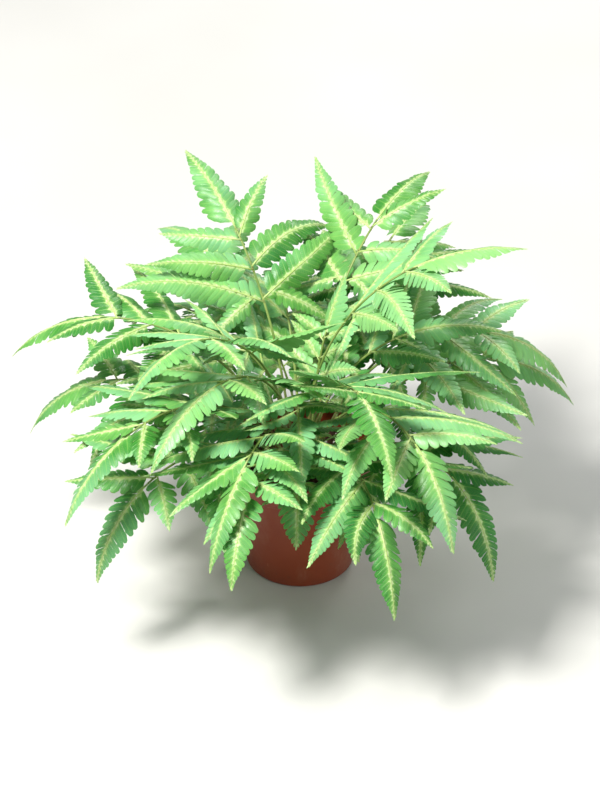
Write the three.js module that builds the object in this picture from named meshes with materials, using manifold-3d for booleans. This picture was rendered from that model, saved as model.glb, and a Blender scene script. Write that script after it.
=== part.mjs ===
// Potted variegated East Indian holly fern (Arachniodes simplicior).
// Units are millimetres, +Z up. The origin is the centre of the pot's flat base,
// on the surface that the pot stands on.
//
// A thin-walled moulded nursery pot holds potting mix. A short creeping rhizome
// lies half sunk in the mix, and every frond stands in its own socket in it. A
// frond is one piece: a stalk that runs on as the midrib, three pairs of side
// pinnae, and an end pinna like them. Each of the two lowest pinnae carries one
// enlarged pinnule on the side that faces the stalk, so the blade looks forked
// there. Three young fronds are still unrolling.
import * as THREE from 'three';
import { mergeVertices } from 'three/addons/utils/BufferGeometryUtils.js';
import Module from 'manifold-3d';

const wasm = await Module();
wasm.setup();

// ---------------------------------------------------------------- dimensions
const POT_HEIGHT = 105;
const POT_TOP_R = 60;          // outside of the rim: a 12 cm pot
const POT_BASE_R = 42.5;
const POT_WALL = 1.4;
const POT_FLOOR = 1.8;
const COLLAR_Z = 83;           // lower edge of the collar band
const COLLAR_STEP = 3.2;       // how far the collar stands out of the cone
const POT_SIDES = 40;
const DRAIN_HOLES = 8;
const DRAIN_HOLE_R = 3.6;
const DRAIN_RING_R = 32;

const GAP = 0.35;              // between pieces that touch
const SOIL_Z = 91;             // potting mix at the wall
const SOIL_MOUND = 3.0;        // and how much higher it is in the middle

const RHIZOME_R = [24.5, 22.5, 11];
const RHIZOME_Z = 88;

const STALK_R = 1.1;
const SOCKET_R = STALK_R + GAP;
const MIDRIB_UP = 0.55;        // leaf thickness above and below the leaf's plane at its midrib
const MIDRIB_DOWN = 0.75;

const PETIOLULE = 3.0;         // the short bare stalk of a side pinna, from the stalk's middle
const PETIOLULE_R = 0.8;
const SWEEP = 0.36;            // how far a blade's edges run ahead of its midrib, as a share of the half width

// Half width of a pinna along its length, as a share of its largest half width.
const SIDE_PINNA = { at: [0.07, 0.44], width: [0.97, 0.82] };
const END_PINNA = { at: [0.06, 0.42], width: [0.97, 0.83] };
const FORK_PINNA = { at: [0.26], width: [1.0] };

// ---------------------------------------------------------------- the fronds
// One row for each frond, in millimetres and degrees:
//   az heading of the frond; bz, rb, zb bearing, radius and height of its foot on the rhizome;
//   e0, e1 rise above level at the foot and at the tip; L whole length; sway how far the heading turns;
//   roll bank of the blade; fold how far each half of a pinna drops from its midrib (negative is down);
//   wt half width and st start of the end pinna; sf, af place and angle of the enlarged basal pinnule.
// p holds its side pinnae, from the tip down: side (-1 left, 1 right), distance from the foot, angle to
// the midrib, lift out of the blade, length, half width, droop, curl, and the enlarged pinnule's length.
const FRONDS = [
  { az: -33.2, bz: -30.2, rb: 18.0, zb: 91.0, e0: 46.7, e1: -81.4, L: 241.0, sway: -30.1, roll: -0.2, fold: -7.8, wt: 16.2, st: 152.7, sf: 9.0, af: 59.8, p: [
    [-1, 142.6, 43.7, 4.8, 55.3, 11.6, 25.0, 13.1, 0.0],
    [1, 145.6, 55.2, 5.7, 59.7, 12.1, 34.9, 0.9, 0.0],
    [-1, 116.6, 58.6, 11.0, 81.2, 13.2, 28.2, -0.2, 0.0],
    [1, 119.6, 45.6, -10.7, 97.3, 14.3, 34.4, 3.6, 0.0],
    [-1, 89.7, 53.0, -11.7, 111.9, 14.5, 36.6, 15.1, 49.4],
    [1, 92.7, 82.7, -13.7, 103.2, 15.4, 21.1, -8.9, 51.6],
  ] },
  { az: -67.8, bz: -71.0, rb: 18.0, zb: 91.0, e0: 50.8, e1: -71.8, L: 263.8, sway: -10.3, roll: -12.2, fold: -11.5, wt: 15.5, st: 180.1, sf: 9.0, af: 57.9, p: [
    [-1, 170.3, 42.0, 15.9, 60.7, 12.1, 23.2, -27.6, 0.0],
    [1, 173.3, 46.4, 9.0, 61.9, 12.1, 39.3, -32.3, 0.0],
    [-1, 145.6, 55.0, -0.9, 82.8, 13.4, 12.9, 8.9, 0.0],
    [1, 148.6, 46.2, -7.3, 88.3, 14.1, 33.1, -0.2, 0.0],
    [-1, 120.0, 56.2, 15.6, 93.2, 14.3, 16.3, -4.9, 44.3],
    [1, 123.0, 48.5, -0.3, 90.7, 14.2, 22.9, -16.1, 57.1],
  ] },
  { az: -102.9, bz: -114.5, rb: 18.0, zb: 91.0, e0: 57.6, e1: -64.6, L: 255.5, sway: 1.1, roll: 5.3, fold: -6.7, wt: 14.8, st: 176.9, sf: 9.0, af: 59.5, p: [
    [-1, 167.5, 54.0, 18.8, 56.4, 11.8, 28.3, 8.9, 0.0],
    [1, 170.5, 34.3, -13.0, 55.5, 12.0, 24.8, 4.2, 0.0],
    [-1, 143.8, 46.8, 24.9, 76.1, 13.2, 53.8, -12.0, 0.0],
    [1, 146.8, 59.4, -2.5, 76.7, 13.2, 31.3, -17.8, 0.0],
    [-1, 119.2, 73.8, 6.6, 92.2, 14.5, 17.6, -34.8, 46.5],
    [1, 122.2, 57.2, -5.3, 95.7, 13.9, -2.0, -1.6, 56.1],
  ] },
  { az: -140.0, bz: -151.4, rb: 18.0, zb: 91.0, e0: 43.8, e1: -79.3, L: 238.5, sway: 7.1, roll: -10.3, fold: -11.5, wt: 16.2, st: 151.4, sf: 9.0, af: 62.1, p: [
    [-1, 141.3, 58.1, 8.8, 51.7, 11.3, 25.9, -1.6, 0.0],
    [1, 144.3, 46.5, 6.0, 69.3, 12.7, 20.8, 18.4, 0.0],
    [-1, 115.4, 72.1, -3.2, 71.7, 12.9, 39.1, 5.7, 0.0],
    [1, 118.4, 67.4, -8.3, 93.5, 14.5, 3.8, 3.7, 0.0],
    [-1, 88.6, 59.3, -0.6, 110.4, 15.4, 36.4, -6.1, 55.6],
    [1, 91.6, 78.0, 2.0, 91.3, 14.5, 59.0, -18.1, 55.5],
  ] },
  { az: 165.2, bz: 173.7, rb: 18.0, zb: 91.0, e0: 43.8, e1: -69.4, L: 245.1, sway: 5.1, roll: -8.2, fold: -5.4, wt: 15.5, st: 154.3, sf: 9.0, af: 63.5, p: [
    [-1, 144.5, 50.7, 10.8, 51.0, 11.2, 19.2, 6.5, 0.0],
    [1, 147.5, 57.9, 9.8, 58.1, 11.9, 11.7, -7.0, 0.0],
    [-1, 119.8, 64.0, 0.1, 88.1, 13.9, 54.1, 2.2, 0.0],
    [1, 122.8, 48.4, -3.4, 68.3, 12.5, 45.9, 28.3, 0.0],
    [-1, 94.1, 55.4, 4.1, 105.9, 15.5, 37.6, -14.3, 54.7],
    [1, 97.1, 72.8, -9.6, 94.0, 14.2, 54.0, 2.2, 45.4],
  ] },
  { az: 128.5, bz: 132.0, rb: 18.0, zb: 91.0, e0: 55.8, e1: -66.0, L: 239.3, sway: 7.1, roll: 9.5, fold: -10.6, wt: 16.4, st: 147.6, sf: 9.0, af: 57.5, p: [
    [-1, 137.3, 62.8, -14.4, 66.2, 12.7, 37.4, -13.2, 0.0],
    [1, 140.3, 46.1, -15.1, 72.5, 12.8, 38.9, 5.1, 0.0],
    [-1, 111.1, 62.7, 6.4, 95.3, 14.6, 40.9, 2.4, 0.0],
    [1, 114.1, 62.6, 1.0, 84.2, 14.0, 8.3, -30.0, 0.0],
    [-1, 83.8, 78.9, 5.7, 107.1, 15.3, 28.4, -29.4, 53.6],
    [1, 86.8, 60.5, 8.3, 96.1, 14.6, 31.1, 0.7, 55.9],
  ] },
  { az: 87.0, bz: 89.2, rb: 18.0, zb: 91.0, e0: 47.6, e1: -72.0, L: 239.5, sway: -5.7, roll: -10.1, fold: -7.5, wt: 15.3, st: 150.7, sf: 9.0, af: 59.3, p: [
    [-1, 141.1, 50.9, 12.9, 54.4, 11.4, 53.3, 18.1, 0.0],
    [1, 144.1, 46.9, 8.7, 66.2, 12.2, 37.2, 11.2, 0.0],
    [-1, 116.6, 71.8, -3.0, 87.7, 14.0, 56.1, -0.5, 0.0],
    [1, 119.6, 68.8, 10.3, 73.6, 12.7, 39.7, -7.4, 0.0],
    [-1, 91.1, 48.7, 6.6, 90.8, 14.4, 31.6, 5.5, 52.3],
    [1, 94.1, 55.7, 9.2, 96.3, 15.0, 14.5, 2.8, 50.7],
  ] },
  { az: 48.2, bz: 44.6, rb: 18.0, zb: 91.0, e0: 45.6, e1: -72.6, L: 239.6, sway: -6.4, roll: 4.2, fold: -8.4, wt: 16.3, st: 149.5, sf: 9.0, af: 57.0, p: [
    [-1, 139.3, 46.0, 6.9, 68.5, 12.7, 25.5, -5.1, 0.0],
    [1, 142.3, 46.7, 2.2, 70.8, 12.9, 17.9, 4.4, 0.0],
    [-1, 113.3, 69.9, -7.2, 94.3, 14.5, 54.4, 24.6, 0.0],
    [1, 116.3, 66.3, 2.9, 83.5, 13.7, 29.0, 5.2, 0.0],
    [-1, 86.4, 58.6, -3.9, 95.6, 14.5, 22.8, -22.0, 52.1],
    [1, 89.4, 60.6, 8.1, 105.0, 15.3, 43.1, 6.4, 51.1],
  ] },
  { az: 10.9, bz: 11.5, rb: 18.0, zb: 91.0, e0: 54.2, e1: -65.2, L: 254.2, sway: 1.1, roll: 10.6, fold: -12.8, wt: 16.2, st: 166.1, sf: 9.0, af: 58.4, p: [
    [-1, 156.0, 46.4, 7.7, 60.6, 12.2, 41.1, 14.9, 0.0],
    [1, 159.0, 49.9, -11.6, 65.3, 12.4, 36.5, -6.3, 0.0],
    [-1, 130.2, 55.7, -0.1, 77.5, 13.4, 47.4, 17.7, 0.0],
    [1, 133.2, 61.6, -0.5, 82.0, 13.3, 23.9, -0.0, 0.0],
    [-1, 103.4, 60.2, 1.1, 96.6, 15.3, 8.8, 12.7, 55.8],
    [1, 106.4, 53.3, 1.3, 101.6, 14.9, 16.5, -14.1, 56.2],
  ] },
  { az: -50.8, bz: -54.6, rb: 12.0, zb: 92.0, e0: 65.9, e1: -67.0, L: 287.5, sway: -19.7, roll: 1.0, fold: -13.3, wt: 17.0, st: 198.3, sf: 9.0, af: 59.7, p: [
    [-1, 187.7, 60.5, 13.0, 65.6, 12.3, 23.0, -17.5, 0.0],
    [1, 190.7, 44.7, 3.2, 69.6, 12.6, 10.1, -1.6, 0.0],
    [-1, 160.4, 56.3, 0.5, 100.8, 14.8, 32.7, -7.5, 0.0],
    [1, 163.4, 62.0, 4.3, 89.4, 13.9, 41.7, -17.0, 0.0],
    [-1, 132.1, 53.3, -8.8, 108.1, 15.3, 26.9, -12.1, 56.5],
    [1, 135.1, 49.0, 7.0, 101.5, 15.0, 9.1, -14.4, 55.6],
  ] },
  { az: -101.8, bz: -93.5, rb: 12.0, zb: 92.0, e0: 64.2, e1: -71.0, L: 270.7, sway: -16.5, roll: 23.9, fold: -13.3, wt: 16.0, st: 178.9, sf: 9.0, af: 63.4, p: [
    [-1, 168.8, 61.2, 7.9, 63.6, 12.3, 20.5, -0.6, 0.0],
    [1, 171.8, 38.2, 4.4, 70.6, 12.4, 20.2, 7.7, 0.0],
    [-1, 143.2, 45.9, 15.7, 81.8, 13.7, 18.9, -1.8, 0.0],
    [1, 146.2, 66.0, 11.4, 89.9, 14.1, 14.7, -11.6, 0.0],
    [-1, 116.6, 63.2, -14.3, 96.6, 15.0, 13.7, -6.4, 56.9],
    [1, 119.6, 76.1, 9.3, 88.9, 14.1, 23.6, -10.5, 46.1],
  ] },
  { az: -140.4, bz: -133.7, rb: 12.0, zb: 92.0, e0: 62.8, e1: -67.9, L: 288.9, sway: 0.3, roll: 14.6, fold: -6.1, wt: 15.8, st: 197.1, sf: 9.0, af: 56.7, p: [
    [-1, 187.1, 51.3, 10.0, 57.8, 11.6, 36.8, 0.7, 0.0],
    [1, 190.1, 36.1, 5.7, 60.7, 11.8, 6.9, 2.5, 0.0],
    [-1, 161.8, 71.6, 4.4, 70.1, 12.7, 41.3, -21.7, 0.0],
    [1, 164.8, 74.3, -4.2, 78.4, 13.5, 14.7, -4.9, 0.0],
    [-1, 135.6, 67.3, 9.7, 97.0, 14.9, 0.9, -9.9, 48.2],
    [1, 138.6, 60.4, 3.7, 99.8, 14.9, 18.3, 9.7, 46.6],
  ] },
  { az: 171.6, bz: 168.5, rb: 12.0, zb: 92.0, e0: 67.9, e1: -55.9, L: 289.4, sway: -1.4, roll: 2.6, fold: -11.9, wt: 15.6, st: 197.5, sf: 9.0, af: 59.7, p: [
    [-1, 187.7, 34.7, 11.5, 61.4, 11.7, 44.8, -7.7, 0.0],
    [1, 190.7, 55.9, 17.5, 68.3, 12.5, 3.8, 1.2, 0.0],
    [-1, 162.9, 51.1, -2.3, 82.4, 13.5, 27.3, 10.7, 0.0],
    [1, 165.9, 48.1, 4.1, 88.4, 14.2, 48.7, 0.2, 0.0],
    [-1, 137.1, 73.7, 6.9, 93.4, 14.4, 10.4, 0.2, 47.2],
    [1, 140.1, 61.4, 0.6, 102.1, 15.1, 18.4, -14.0, 48.2],
  ] },
  { az: 117.4, bz: 118.5, rb: 12.0, zb: 92.0, e0: 57.7, e1: -33.8, L: 273.5, sway: 4.0, roll: -2.0, fold: -5.8, wt: 16.1, st: 182.5, sf: 9.0, af: 60.7, p: [
    [-1, 172.5, 57.1, 15.1, 58.1, 12.2, 75.5, -9.3, 0.0],
    [1, 175.5, 55.4, 6.3, 69.7, 12.7, 5.3, 7.2, 0.0],
    [-1, 146.7, 66.4, 7.1, 86.4, 14.0, 22.9, -6.4, 0.0],
    [1, 149.7, 50.2, -2.8, 80.4, 13.1, 37.1, 8.5, 0.0],
    [-1, 120.0, 46.2, 14.7, 101.9, 15.6, 27.6, -9.7, 53.3],
    [1, 123.0, 68.2, -16.2, 107.0, 15.6, 32.8, -2.2, 54.4],
  ] },
  { az: 57.4, bz: 68.2, rb: 12.0, zb: 92.0, e0: 59.4, e1: -32.9, L: 291.6, sway: 15.0, roll: -15.2, fold: -12.8, wt: 15.9, st: 198.2, sf: 9.0, af: 58.7, p: [
    [-1, 188.2, 34.0, -17.1, 58.6, 11.7, 56.9, 9.7, 0.0],
    [1, 191.2, 62.0, -12.6, 53.4, 11.6, 27.5, -2.6, 0.0],
    [-1, 162.8, 51.1, -3.1, 83.5, 13.7, 47.6, -16.9, 0.0],
    [1, 165.8, 67.3, -0.3, 81.6, 13.8, 26.0, -22.6, 0.0],
    [-1, 136.3, 47.5, 2.1, 112.0, 15.6, 37.3, -14.6, 61.1],
    [1, 139.3, 56.7, -12.4, 105.5, 15.1, 43.1, -3.2, 59.3],
  ] },
  { az: 11.7, bz: 20.5, rb: 12.0, zb: 92.0, e0: 67.9, e1: -68.5, L: 275.7, sway: -10.0, roll: 6.5, fold: -7.6, wt: 16.6, st: 188.1, sf: 9.0, af: 61.3, p: [
    [-1, 177.7, 45.1, 7.8, 65.5, 12.1, 21.0, -10.1, 0.0],
    [1, 180.7, 55.7, 10.4, 55.9, 12.2, 21.5, 14.1, 0.0],
    [-1, 151.2, 52.7, 0.8, 79.2, 13.5, 32.9, -30.8, 0.0],
    [1, 154.2, 55.1, -9.4, 76.6, 12.8, 27.9, -20.6, 0.0],
    [-1, 123.6, 63.5, 6.1, 113.1, 15.6, 27.7, -6.0, 57.0],
    [1, 126.6, 70.2, -0.1, 95.3, 13.8, 15.9, 8.2, 48.8],
  ] },
  { az: -64.0, bz: -64.4, rb: 7.5, zb: 93.0, e0: 72.6, e1: -33.4, L: 282.6, sway: -14.8, roll: -12.6, fold: -6.2, wt: 16.0, st: 188.4, sf: 9.0, af: 58.6, p: [
    [-1, 178.3, 37.0, 6.4, 61.9, 12.2, 10.4, -4.7, 0.0],
    [1, 181.3, 62.7, 13.3, 62.9, 12.1, 13.9, 16.0, 0.0],
    [-1, 152.8, 59.9, 0.8, 78.9, 13.1, 31.0, -8.0, 0.0],
    [1, 155.8, 48.4, 16.7, 92.3, 14.3, 13.7, -10.9, 0.0],
    [-1, 126.2, 55.8, 7.8, 110.2, 15.9, 28.5, 11.2, 57.5],
    [1, 129.2, 53.2, -6.7, 99.6, 15.0, 25.9, 7.3, 52.6],
  ] },
  { az: -6.0, bz: -10.1, rb: 7.5, zb: 93.0, e0: 89.5, e1: -11.1, L: 296.0, sway: 11.4, roll: -9.5, fold: -14.3, wt: 17.0, st: 208.3, sf: 9.0, af: 61.9, p: [
    [-1, 197.8, 52.8, 8.7, 69.3, 13.0, 22.1, -10.9, 0.0],
    [1, 200.8, 53.5, 2.4, 71.6, 12.9, 25.2, 1.3, 0.0],
    [-1, 170.5, 42.2, -1.3, 83.2, 13.5, 47.0, 10.6, 0.0],
    [1, 173.5, 59.5, 4.5, 95.3, 14.5, 47.1, -4.3, 0.0],
    [-1, 142.2, 55.4, -5.9, 124.2, 16.1, 18.9, 1.2, 59.6],
    [1, 145.2, 51.9, -5.1, 90.0, 14.1, 17.4, -1.9, 49.9],
  ] },
  { az: 57.7, bz: 62.7, rb: 7.5, zb: 93.0, e0: 78.1, e1: -19.4, L: 290.7, sway: 2.5, roll: 0.3, fold: -14.2, wt: 15.8, st: 204.4, sf: 9.0, af: 63.4, p: [
    [-1, 194.4, 69.9, 8.3, 60.6, 12.0, 3.8, -12.4, 0.0],
    [1, 197.4, 38.5, 20.6, 63.2, 12.1, 24.1, 4.5, 0.0],
    [-1, 169.1, 48.0, 14.1, 90.9, 14.3, 9.7, -13.8, 0.0],
    [1, 172.1, 57.2, -6.8, 71.2, 12.6, 40.8, 9.3, 0.0],
    [-1, 142.8, 52.7, -14.5, 83.4, 14.3, 13.8, 11.9, 50.9],
    [1, 145.8, 54.0, -1.0, 93.7, 14.5, 27.6, 9.6, 56.2],
  ] },
  { az: 120.0, bz: 135.5, rb: 7.5, zb: 93.0, e0: 77.5, e1: 6.8, L: 275.1, sway: 1.1, roll: -7.9, fold: -12.3, wt: 16.1, st: 190.7, sf: 9.0, af: 57.6, p: [
    [-1, 180.7, 60.7, -9.2, 63.8, 12.2, 12.4, -15.2, 0.0],
    [1, 183.7, 37.9, 8.7, 54.0, 11.4, 12.0, 20.9, 0.0],
    [-1, 155.0, 62.0, 8.2, 85.0, 13.3, 24.6, -2.7, 0.0],
    [1, 158.0, 58.7, 0.6, 92.3, 14.1, 61.9, 9.8, 0.0],
    [-1, 128.3, 51.0, -1.5, 116.8, 16.1, 38.8, 10.6, 54.9],
    [1, 131.3, 63.8, 9.2, 97.5, 14.7, 30.5, -31.4, 54.9],
  ] },
  { az: -143.4, bz: -158.4, rb: 7.5, zb: 93.0, e0: 82.8, e1: -25.4, L: 286.8, sway: 22.9, roll: 26.3, fold: -12.6, wt: 16.9, st: 193.8, sf: 8.5, af: 60.3, p: [
    [-1, 183.3, 57.1, -13.3, 64.7, 11.7, 26.2, 0.9, 0.0],
    [1, 186.3, 58.5, 5.5, 57.3, 12.0, 25.7, 12.0, 0.0],
    [-1, 156.4, 56.9, 4.6, 87.4, 14.1, 43.5, 1.8, 0.0],
    [1, 159.4, 50.0, 7.9, 82.9, 13.6, 34.7, 14.1, 0.0],
    [-1, 128.5, 61.7, 15.9, 91.4, 15.3, 27.0, 30.4, 52.7],
    [1, 131.5, 52.5, -5.0, 93.1, 15.5, 26.1, -18.0, 56.7],
  ] },
  { az: -92.7, bz: -98.1, rb: 3.2, zb: 93.0, e0: 77.9, e1: -50.7, L: 216.6, sway: 6.6, roll: 25.9, fold: -13.0, wt: 13.4, st: 143.6, sf: 11.8, af: 48.9, p: [
    [-1, 134.9, 47.1, 9.8, 47.5, 9.3, 33.6, -0.3, 0.0],
    [1, 137.9, 44.5, 14.0, 49.5, 9.4, 3.1, 21.8, 0.0],
    [-1, 113.5, 44.4, -13.0, 61.9, 10.5, 8.7, -12.4, 0.0],
    [1, 116.5, 59.6, 9.9, 67.4, 10.7, 6.0, -18.8, 0.0],
    [-1, 91.3, 77.8, 16.9, 93.3, 12.0, 55.7, -15.6, 43.0],
    [1, 94.3, 60.2, 6.1, 78.8, 11.8, 21.0, 3.3, 43.0],
  ] },
  { az: -0.4, bz: 27.1, rb: 5.2, zb: 93.0, e0: 76.7, e1: -21.2, L: 219.8, sway: 3.3, roll: 19.6, fold: -11.9, wt: 14.0, st: 142.7, sf: 9.0, af: 58.6, p: [
    [-1, 133.7, 55.5, 18.9, 51.6, 9.7, 15.8, -12.3, 0.0],
    [1, 136.7, 47.8, 7.6, 48.1, 9.8, 26.3, 9.1, 0.0],
    [-1, 111.3, 65.9, -12.1, 66.9, 10.9, 30.8, 9.7, 0.0],
    [1, 114.3, 39.0, 9.4, 80.6, 11.6, 19.0, -1.6, 0.0],
    [-1, 88.1, 72.9, 7.2, 83.9, 12.2, 30.3, 13.5, 47.0],
    [1, 91.1, 69.8, -1.1, 78.3, 11.5, 36.5, 12.3, 44.9],
  ] },
  { az: 98.9, bz: 90.1, rb: 3.2, zb: 93.0, e0: 77.6, e1: -44.2, L: 209.6, sway: 1.6, roll: 12.8, fold: -11.4, wt: 12.7, st: 142.5, sf: 9.0, af: 56.6, p: [
    [-1, 134.2, 48.9, 12.4, 52.3, 9.5, 29.9, 0.8, 0.0],
    [1, 137.2, 54.9, 21.5, 49.8, 9.3, 34.6, 10.7, 0.0],
    [-1, 113.9, 45.7, 15.6, 62.1, 10.1, 22.6, -11.4, 0.0],
    [1, 116.9, 61.3, 0.5, 63.4, 10.3, 57.4, 10.5, 0.0],
    [-1, 92.9, 48.9, -13.5, 76.0, 11.2, 6.6, 21.5, 47.4],
    [1, 95.9, 61.0, 2.9, 82.4, 12.0, 29.4, -24.4, 39.5],
  ] },
  { az: 184.1, bz: 183.9, rb: 3.2, zb: 93.0, e0: 83.2, e1: -8.9, L: 211.9, sway: -0.6, roll: 12.0, fold: -8.5, wt: 12.9, st: 140.6, sf: 9.0, af: 57.3, p: [
    [-1, 132.2, 51.0, 11.6, 46.5, 9.0, 9.5, -19.9, 0.0],
    [1, 135.2, 43.7, 14.6, 46.2, 9.0, 29.8, -7.2, 0.0],
    [-1, 111.6, 70.3, 4.9, 56.5, 10.5, 23.4, -20.8, 0.0],
    [1, 114.6, 41.9, 1.0, 60.9, 10.5, 38.0, -4.5, 0.0],
    [-1, 90.2, 68.6, -19.8, 77.1, 11.0, 51.9, -12.4, 43.6],
    [1, 93.2, 68.6, 16.0, 81.3, 11.7, 26.2, 0.4, 43.1],
  ] },
  { az: -74.4, bz: -88.1, rb: 15.0, zb: 91.5, e0: 60.3, e1: -75.5, L: 199.0, sway: 3.4, roll: 7.8, fold: -6.3, wt: 12.3, st: 131.3, sf: 8.0, af: 58.3, p: [
    [-1, 123.3, 49.0, -15.8, 47.2, 9.1, 41.6, -10.5, 0.0],
    [1, 126.3, 51.2, 15.6, 44.4, 9.2, 25.6, -9.8, 0.0],
    [-1, 103.7, 46.0, 20.3, 64.7, 10.5, 14.8, -13.4, 0.0],
    [1, 106.7, 73.3, -1.0, 59.8, 10.0, 17.5, -4.5, 0.0],
    [-1, 83.4, 66.4, 1.8, 78.6, 11.4, 44.8, -1.6, 43.2],
    [1, 86.4, 47.3, 17.6, 82.4, 11.8, 31.5, -11.8, 40.1],
  ] },
  { az: -146.2, bz: -144.9, rb: 15.0, zb: 91.5, e0: 59.7, e1: -51.5, L: 192.4, sway: -18.1, roll: -5.8, fold: -11.7, wt: 12.3, st: 126.7, sf: 8.0, af: 63.0, p: [
    [-1, 118.6, 55.9, 8.5, 49.7, 9.4, 27.4, -20.3, 0.0],
    [1, 121.6, 53.6, 17.6, 50.7, 9.5, 37.0, -19.6, 0.0],
    [-1, 98.9, 62.9, -7.3, 66.8, 10.4, 23.2, 26.2, 0.0],
    [1, 101.9, 60.3, -4.1, 63.4, 10.3, 15.3, -4.2, 0.0],
    [-1, 78.5, 63.7, 0.3, 76.8, 11.3, 25.4, -19.4, 35.9],
    [1, 81.5, 54.5, 5.5, 83.6, 11.7, 38.5, -10.5, 41.9],
  ] },
  { az: -24.5, bz: -29.2, rb: 15.0, zb: 91.5, e0: 60.6, e1: -45.9, L: 196.3, sway: -20.2, roll: -13.9, fold: -11.1, wt: 12.5, st: 127.0, sf: 8.0, af: 60.7, p: [
    [-1, 118.8, 47.1, 1.8, 48.7, 9.2, 12.1, -5.6, 0.0],
    [1, 121.8, 40.9, 10.2, 49.5, 9.2, 11.7, -11.0, 0.0],
    [-1, 98.7, 43.3, -5.7, 63.5, 10.4, 36.6, -3.5, 0.0],
    [1, 101.7, 45.8, -0.2, 58.9, 10.3, 34.3, -15.2, 0.0],
    [-1, 78.0, 74.8, -2.5, 73.5, 11.0, 47.1, -5.2, 41.9],
    [1, 81.0, 75.2, 5.4, 81.1, 11.6, 19.1, 8.4, 39.1],
  ] },
  { az: -126.6, bz: -110.0, rb: 7.6, zb: 93.0, e0: 80.2, e1: -54.6, L: 268.0, sway: -0.5, roll: 11.7, fold: -6.2, wt: 16.0, st: 173.8, sf: 9.0, af: 58.6, p: [
    [-1, 163.8, 62.7, 12.4, 58.4, 12.2, 38.3, 2.0, 0.0],
    [1, 166.8, 42.1, 3.9, 64.2, 12.1, 12.7, -22.0, 0.0],
    [-1, 138.2, 47.4, -12.3, 69.8, 13.1, 27.0, -5.8, 0.0],
    [1, 141.2, 54.8, -2.0, 81.7, 14.3, -1.0, -0.6, 0.0],
    [-1, 111.7, 50.7, 6.0, 117.3, 15.9, 27.0, -13.3, 57.5],
    [1, 114.7, 45.3, -15.2, 107.9, 15.0, 9.3, -7.7, 52.6],
  ] },
  { az: -147.4, bz: -157.7, rb: 12.2, zb: 92.5, e0: 60.5, e1: -14.7, L: 164.1, sway: -15.1, roll: -15.5, fold: -4.8, wt: 13.6, st: 99.9, sf: 6.0, af: 58.0, p: [
    [-1, 95.4, 56.3, 12.5, 44.7, 7.7, 16.8, 12.5, 0.0],
    [1, 97.9, 57.9, 14.5, 42.5, 7.5, 38.6, 8.1, 0.0],
    [-1, 78.2, 53.5, 5.5, 59.0, 9.4, 24.4, -3.5, 0.0],
    [1, 80.7, 63.1, 1.5, 60.3, 9.5, 22.7, 0.8, 0.0],
    [-1, 60.9, 58.9, 15.8, 60.5, 9.6, 30.7, 13.1, 0.0],
    [1, 63.4, 58.2, 14.8, 69.7, 10.6, 35.1, 5.9, 0.0],
  ] },
  { az: 128.5, bz: 75.2, rb: 17.7, zb: 89.5, e0: 71.3, e1: 11.6, L: 153.5, sway: -14.9, roll: -5.0, fold: -9.0, wt: 12.6, st: 89.3, sf: 6.0, af: 58.0, p: [
    [-1, 84.8, 48.2, -3.2, 42.1, 7.4, 15.8, -1.7, 0.0],
    [1, 87.3, 65.8, -4.9, 48.1, 8.1, 21.2, 16.4, 0.0],
    [-1, 68.7, 50.7, -4.5, 49.1, 8.2, 36.7, -2.3, 0.0],
    [1, 71.2, 64.5, 7.7, 59.9, 9.5, 33.1, 11.2, 0.0],
    [-1, 52.6, 59.7, 11.5, 67.3, 10.3, 36.8, 12.4, 0.0],
    [1, 55.1, 64.1, -5.0, 57.9, 9.3, 31.6, 4.4, 0.0],
  ] },
  { az: -88.2, bz: -102.0, rb: 15.2, zb: 89.5, e0: 56.5, e1: -58.7, L: 165.9, sway: -3.4, roll: 6.1, fold: -8.3, wt: 15.7, st: 114.6, sf: 6.0, af: 58.0, p: [
    [-1, 110.1, 65.2, -1.0, 37.7, 6.9, 23.0, 5.5, 0.0],
    [1, 112.6, 59.2, 5.9, 33.4, 6.4, 28.4, 0.2, 0.0],
    [-1, 92.7, 63.9, -0.4, 42.7, 7.5, 38.3, -1.0, 0.0],
    [1, 95.2, 65.9, 17.2, 43.5, 7.6, 29.9, 19.9, 0.0],
    [-1, 75.2, 55.0, 11.2, 54.8, 8.9, 24.0, -5.5, 0.0],
    [1, 77.7, 60.1, 16.1, 48.9, 8.2, 19.9, 11.7, 0.0],
  ] },
  { az: 63.5, bz: 23.6, rb: 9.7, zb: 92.5, e0: 86.9, e1: 51.6, L: 157.7, sway: -14.7, roll: -19.6, fold: -9.5, wt: 13.4, st: 106.3, sf: 6.0, af: 58.0, p: [
    [-1, 101.8, 61.8, 6.6, 39.0, 7.1, 26.2, 13.6, 0.0],
    [1, 104.3, 48.8, -4.4, 34.0, 6.5, 33.9, -9.9, 0.0],
    [-1, 85.2, 55.6, -1.4, 45.2, 7.8, 22.1, 3.8, 0.0],
    [1, 87.7, 49.8, 11.4, 43.8, 7.6, 16.7, -9.5, 0.0],
    [-1, 68.7, 55.3, 2.8, 49.3, 8.3, 16.4, 5.5, 0.0],
    [1, 71.2, 49.7, 13.2, 57.8, 9.3, 28.6, -9.2, 0.0],
  ] },
  { az: 49.3, bz: 66.7, rb: 20.8, zb: 89.5, e0: 67.8, e1: 9.4, L: 107.7, sway: -24.8, roll: -6.5, fold: -8.7, wt: 9.2, st: 65.6, sf: 6.0, af: 58.0, p: [
    [-1, 61.1, 55.6, 0.7, 29.4, 6.0, 39.5, -5.3, 0.0],
    [1, 63.6, 57.9, -0.8, 28.7, 5.9, 25.7, 5.8, 0.0],
    [-1, 49.8, 52.6, -0.8, 38.0, 7.0, 39.9, 14.8, 0.0],
    [1, 52.3, 58.3, 1.8, 33.4, 6.4, 30.7, 15.2, 0.0],
    [-1, 38.5, 65.1, 14.8, 45.2, 7.8, 27.9, -2.1, 0.0],
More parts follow.
